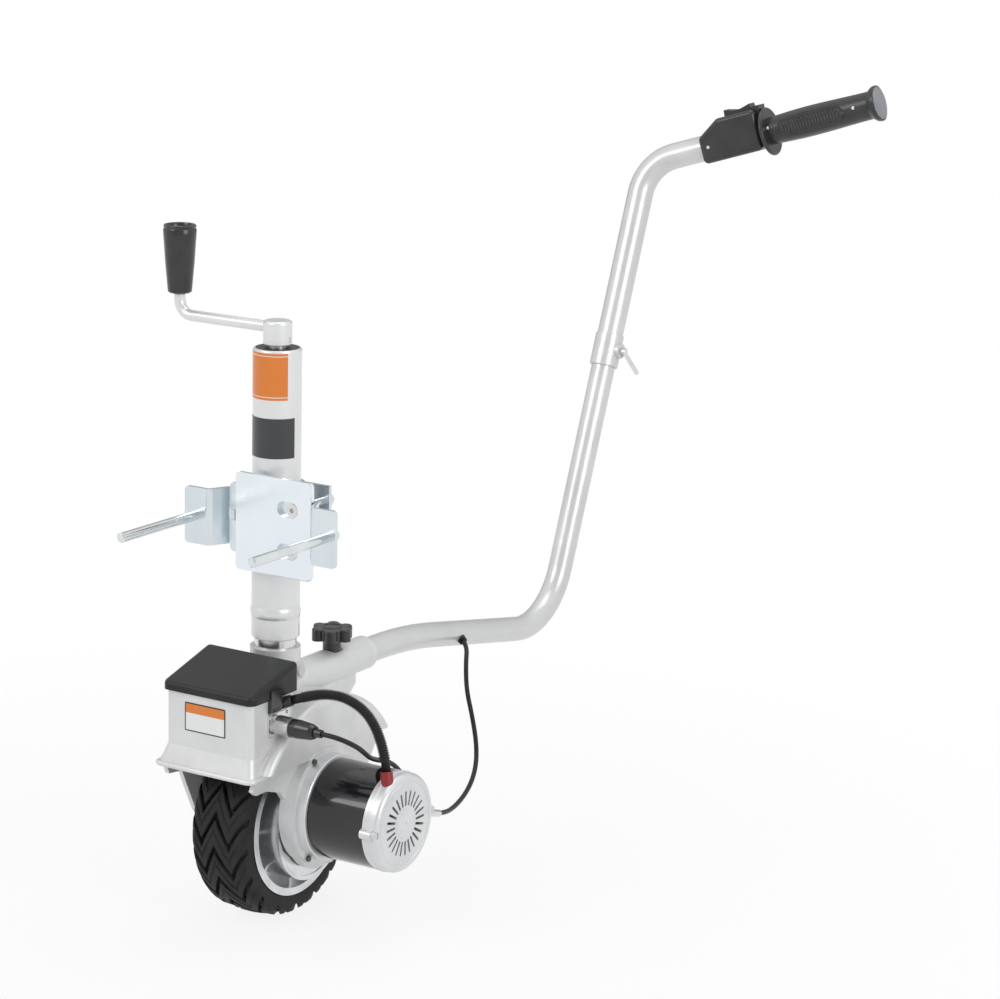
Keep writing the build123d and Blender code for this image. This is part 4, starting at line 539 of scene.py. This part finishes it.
# %% Finishes by material name, then the exceptions
finish_of = {
    "silver_paint": tube_paint, "cast_paint": cast_paint, "zinc": zinc_plate,
    "steel": bright_steel, "dark_steel": dark_steel, "bearing_steel": bright_steel,
    "bronze": bronze, "black_gloss": can_gloss, "cap_metal": cap_silver,
    "rim_metal": rim_silver, "black_plastic": hard_plastic, "grip_rubber": grip_rubber,
    "grey_plastic": disc_grey, "tyre": tyre_rubber, "cable_black": cable_sheath,
    "conduit": cable_sheath, "red_sleeve": red_rubber, "label_orange": tube_film,
    "label_dark": tube_film, "board": board_green, "seal": grip_rubber,
    "magnet": dark_steel, "copper": bronze,
}
own_finish = {
    "box_lid": lid_plastic, "box_label": box_film, "plug": plug_finish,
    "handle_sleeve": handle_paint, "lower_handle": handle_paint, "upper_tube": handle_paint,
    "lever_screw": bright_steel, "crank_rod": tube_paint, "crank_hub": tube_paint,
    "socket_plate": bright_steel, "studs": stud_zinc, "stud_nuts": stud_zinc,
    # The strap and the plates behind the front plate wear the zinc copy with painted shade.
    "clamp_bolts": bright_steel, "hat_strap": zinc_painted_shade, "inner_plate": zinc_painted_shade,
    "rear_saddle": zinc_painted_shade, "tube_bushes": dark_steel, "body_screws": screw_finish,
}
slot_of = {part["node"]: part["material_slot"] for part in frame["record"]["subparts"]}
for name, piece in nodes.items():
    finish = own_finish.get(name, finish_of[slot_of[name]])
    for slot in piece.material_slots:
        slot.material = finish
    if not piece.material_slots:
        piece.data.materials.append(finish)
for piece in (cable, conduit):
    piece.data.materials.append(cable_sheath)
print("solids dressed:", len(nodes), "with their own finish:", len(own_finish))

# %% [markdown]
# The tyre.
# A chevron tread is cast in one piece with its casing. One could cut grooves out of a plain
# ring, but it is easier to lay out a sheet whose lines already run along the zigzag, push the
# groove lines down, and roll the sheet up: the walls then stay steep and even all round.

# %% Tyre: section, zigzag grooves, rolled round the axle
AXLE = Vector((0.0, -0.0011, -0.30975))
HALF = 0.0326
PITCHES = 18
GROOVE_DEEP = 0.0062
BEAD_HALF, BEAD_RADIUS = 0.0296, 0.0722
CROWN_RADIUS, CROWN_DROP = 0.0998, 0.0030
SHOULDER, SHOULDER_FADE = 0.0880, 0.0050
ZIGZAG_RUN, ZIGZAG_RADIUS = 0.031, 0.0999
# The lines of one pitch of the tread: each one's share of the pitch and of the full depth.
LINES = ((0.0, 0.0), (0.04, 0.10), (0.08, 1.0), (0.17, 1.0), (0.26, 1.0), (0.30, 0.10),
         (0.34, 0.0), (0.52, 0.0), (0.59, 0.20), (0.65, 0.20), (0.72, 0.0), (0.88, 0.0))


def zigzag(x):
    """How far a groove runs ahead round the wheel at x, as a turn: a W across the width."""
    across = abs(x) / HALF
    run = 1 - across / 0.5 if across < 0.5 else (across - 0.5) / 0.5
    return run * ZIGZAG_RUN / ZIGZAG_RADIUS


side = [(BEAD_HALF, BEAD_RADIUS), (0.0297, 0.0768), (0.0318, 0.0776), (0.0325, 0.0800),
        (0.0326, 0.0840), (0.0325, 0.0872), (0.0321, 0.0900), (0.0311, 0.0926),
        (0.0294, 0.0948), (0.0270, 0.0965), (0.0243, 0.0977)]
tread = [(HALF * k / 14, CROWN_RADIUS - CROWN_DROP * (k / 10) ** 2) for k in range(9, -10, -1)]
section = side + tread + [(-x, r) for x, r in reversed(side)]
section += [(-BEAD_HALF + 2 * BEAD_HALF * k / 4, BEAD_RADIUS) for k in range(1, 5)]
rows, columns = len(LINES) * PITCHES, len(section) - 1
bm = bmesh.new()
bmesh.ops.create_grid(bm, x_segments=columns, y_segments=rows, size=1.0)
for vert in bm.verts:
    column = round((vert.co.x + 1) / 2 * columns)
    row = round((vert.co.y + 1) / 2 * rows) % rows
    x, r = section[column]
    pitches, line = divmod(row, len(LINES))
    share, deep = LINES[line]
    spin = 2 * math.pi * (pitches + share) / PITCHES - zigzag(x)
    on_tread = min(max((r - SHOULDER) / SHOULDER_FADE, 0.0), 1.0)
    r -= GROOVE_DEEP * deep * on_tread
    vert.co = AXLE + Vector((x, r * math.cos(spin), r * math.sin(spin)))
bmesh.ops.remove_doubles(bm, verts=bm.verts, dist=1e-6)
bmesh.ops.recalc_face_normals(bm, faces=bm.faces)
tyre = link_mesh("chevron_tyre", bm)
smooth(tyre, 38)
tyre.data.materials.append(tyre_rubber)
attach(tyre, "wheel")
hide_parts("tyre")
print("tyre faces:", len(tyre.data.polygons))

# %% [markdown]
# Turned pieces: the crank's grip and the motor cap's rings.
# A moulded grip and a cast cap are both round, so a profile of a few points, spun round an
# axis, gives them directly. A plain cone would miss the rolled rim and the hollow top that
# catch the light, so those are points of the profile too.


# %% The crank's grip, turned and placed upright
def placed(bm, foot, way):
    """Turn a piece made along X to point along way, with its start at foot."""
    turn = Vector((1, 0, 0)).rotation_difference(Vector(way)).to_matrix().to_4x4()
    bmesh.ops.transform(bm, verts=bm.verts, matrix=Matrix.Translation(foot) @ turn)
    return bm


def dressed(piece, finish, body, angle=35.0):
    """Smooth a piece, give it its finish and let it ride on its body."""
    smooth(piece, angle)
    piece.data.materials.append(finish)
    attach(piece, body)
    return piece


grip_gloss = grained("crank_grip_gloss_black", (0.020, 0.020, 0.021), (0.012, 0.012, 0.012),
                     (0.16, 0.26), cloud=60, grain=1500, depth=0.05, glint=0.6)
GRIP_BORE = 0.0056
low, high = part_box("crank_grip")
centre = (low + high) / 2
tall = high.z - low.z
profile = [(0.0, GRIP_BORE), (0.0, 0.0108), (0.0012, 0.0120), (0.010, 0.0128),
           (0.030, 0.0146), (0.048, 0.0158), (tall - 0.010, 0.0165), (tall - 0.0050, 0.0166),
           (tall - 0.0030, 0.0158), (tall - 0.0012, 0.0164), (tall, 0.0156),
           (tall, 0.0136), (tall - 0.0016, 0.0128), (tall - 0.0060, 0.0122),
           (tall - 0.0060, GRIP_BORE)]
bm = placed(turned(profile, 64), (centre.x, centre.y, low.z), (0, 0, 1))
crank_grip = dressed(link_mesh("crank_grip_turned", bm), grip_gloss, "crank_handle")
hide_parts("crank_grip")
print("crank grip", round(tall, 4), "m tall")

# %% Rings of the motor's cap: each one's name, place along X and outline
MOTOR_Y, MOTOR_Z = -0.0011, -0.2874
CAP_RINGS = (
    ("cap_outer_bead", 0.1594, [(0.0, 0.0408), (0.0010, 0.0412), (0.0014, 0.0424),
                                (0.0010, 0.0436), (0.0, 0.0440)]),
    ("cap_centre_disc", 0.1590, [(0.0, 0.0012), (0.0016, 0.0012), (0.0018, 0.0132),
                                 (0.0014, 0.0146), (0.0006, 0.0152), (0.0, 0.0152)]),
    ("cap_rear_bead", 0.1462, [(0.0, 0.0498), (0.0004, 0.0506), (0.0016, 0.0509),
                               (0.0028, 0.0506), (0.0032, 0.0498)]),
)
for name, start, rings in CAP_RINGS:
    bm = placed(turned(rings, 96), (start, MOTOR_Y, MOTOR_Z), (1, 0, 0))
    dressed(link_mesh(name, bm), cap_silver, "drive")
print("rings of the cap:", len(CAP_RINGS))

# %% [markdown]
# The pad on the handle's grip.
# Soft grips have an oval pad of fine curved ribs under the fingers. Separate ribs laid on
# the grip would float over its curve, so one sheet is rolled to the grip's surface and its
# points are lifted in a wave, fading to nothing along the oval's edge. Three small screws
# and the rolled rim of the guard, both turned, are set in the same directions.

# %% Ribbed oval pad, rolled to the grip
# BEND is where the handle's arm starts. ALONG is its axis, TOWARD the pad's side, RISE up.
BEND = Vector((0.033729, 0.716392, 0.287769))
ALONG = Vector((0.947732, 0.093973, 0.304914))
TOWARD = Vector((0.098671, -0.99512, 0.0))
RISE = Vector((-0.303426, -0.030083, 0.95238))
GUARD_AT, GRIP_LENGTH = 0.1195, 0.13
GRIP_RADIUS, GRIP_BELLY = 0.0155, 0.0014
PAD_AT, PAD_LONG, PAD_WIDE = 0.178, 0.041, 0.0125
PAD_SUNK, PAD_LIFT, PAD_THICK = 0.0004, 0.0026, 0.0012
RIB_PITCH, RIB_DEEP, RIB_BOW = 0.0037, 0.0011, 9.0
bm = bmesh.new()
bmesh.ops.create_grid(bm, x_segments=132, y_segments=22, size=1.0)
for vert in bm.verts:
    u, v = vert.co.x, vert.co.y
    a = PAD_AT + PAD_LONG * u * math.sqrt(1 - v * v / 2)
    b = PAD_WIDE * v * math.sqrt(1 - u * u / 2)
    edge = 1 - max(abs(u), abs(v))
    lift = min(edge / 0.07, 1.0)
    inner = min(max((edge - 0.10) / 0.06, 0.0), 1.0)
    wave = 0.5 + 0.5 * math.sin(2 * math.pi * (a + RIB_BOW * b * b) / RIB_PITCH)
    along_grip = min(max((a - GUARD_AT) / GRIP_LENGTH, 0), 1)
    slim = GRIP_RADIUS + GRIP_BELLY * math.sin(math.pi * along_grip)
    r = slim - PAD_SUNK + PAD_LIFT * lift - RIB_DEEP * inner * wave
    phi = b / slim
    vert.co = BEND + ALONG * a + (TOWARD * math.cos(phi) + RISE * math.sin(phi)) * r
bmesh.ops.recalc_face_normals(bm, faces=bm.faces)
if sum(face.normal.dot(TOWARD) for face in bm.faces) < 0:
    bmesh.ops.reverse_faces(bm, faces=bm.faces)
bmesh.ops.solidify(bm, geom=bm.faces, thickness=PAD_THICK)
dressed(link_mesh("grip_pad", bm), grip_rubber, "upper_handle", 60)
print("pad", 2 * PAD_LONG, "by", 2 * PAD_WIDE, "m")

# %% Screws of the handle and the guard's rolled rim
SCREW_HEAD = [(0.0, 0.0002), (0.0009, 0.0002), (0.0013, 0.0008), (0.0011, 0.0018),
              (0.0004, 0.0022), (-0.0006, 0.0022)]
# Each screw's place: along the arm, up from its axis, and out from it.
SCREWS = ((0.052, 0.0, 0.0188), (0.126, 0.004, 0.0157), (0.231, 0.002, 0.0166))
GUARD_MIDDLE, GUARD_RADIUS, GUARD_ROLL = 0.0020, 0.0250, 0.0025
for number, (a, up, out_at) in enumerate(SCREWS, start=1):
    place = BEND + ALONG * a + RISE * up + TOWARD * out_at
    bm = placed(turned(SCREW_HEAD, 24), place, TOWARD)
    dressed(link_mesh(f"grip_screw_{number}", bm), bright_steel, "upper_handle")
guard = [(GUARD_MIDDLE + GUARD_ROLL * math.cos(math.pi * step / 8),
          GUARD_RADIUS + GUARD_ROLL * math.sin(math.pi * step / 8)) for step in range(16)]
bm = placed(turned(guard, 72), BEND + ALONG * GUARD_AT, ALONG)
dressed(link_mesh("guard_bead", bm), grip_rubber, "upper_handle", 60)
print("screws:", len(SCREWS), "and the guard's rim at", GUARD_AT)

# %% [markdown]
# Beads on the casting's skirt and the knob.
# A casting's free edge is finished with a rolled bead that stiffens it, and a knob's face
# has a moulded ring. The bead could be cut into the solid, but a round rod that follows the
# skirt's lower edge gives the same soft highlight and keeps the casting as it was measured.

# %% Skirt bead and knob ring
left, right, front, back = -0.0590, 0.0570, -0.1170, -0.0520
SKIRT_FOOT, SKIRT_CORNER, SKIRT_BEAD = -0.2362, 0.007, 0.0026
CORNER_STEPS = 8
outline = [(left, back, SKIRT_FOOT)]
for cx, start in ((left + SKIRT_CORNER, 180), (right - SKIRT_CORNER, 270)):
    for step in range(CORNER_STEPS + 1):
        turn = math.radians(start + 90 * step / CORNER_STEPS)
        outline.append((cx + SKIRT_CORNER * math.cos(turn),
                        front + SKIRT_CORNER + SKIRT_CORNER * math.sin(turn), SKIRT_FOOT))
outline.append((right, back, SKIRT_FOOT))
bead = bpy.data.curves.new("skirt_bead", "CURVE")
bead.dimensions = "3D"
bead.bevel_depth = SKIRT_BEAD
bead.bevel_resolution = 4
bead.use_fill_caps = True
line = bead.splines.new("POLY")
line.points.add(len(outline) - 1)
for place, point in zip(outline, line.points):
    point.co = (*place, 1.0)
skirt_bead = add_object("skirt_bead", bead)
bead.materials.append(cast_paint)
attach(skirt_bead, "drive")

low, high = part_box("socket_knob")
KNOB_RING = [(0.0, 0.0084), (0.0007, 0.0086), (0.0009, 0.0094), (0.0007, 0.0102),
             (0.0, 0.0104), (-0.0005, 0.0104), (-0.0005, 0.0084)]
bm = placed(turned(KNOB_RING, 48),
            ((low.x + high.x) / 2, (low.y + high.y) / 2, high.z - 0.0001), (0, 0, 1))
dressed(link_mesh("knob_ring", bm), hard_plastic, "knob")
print("skirt bead of", len(outline), "points and a knob ring made")
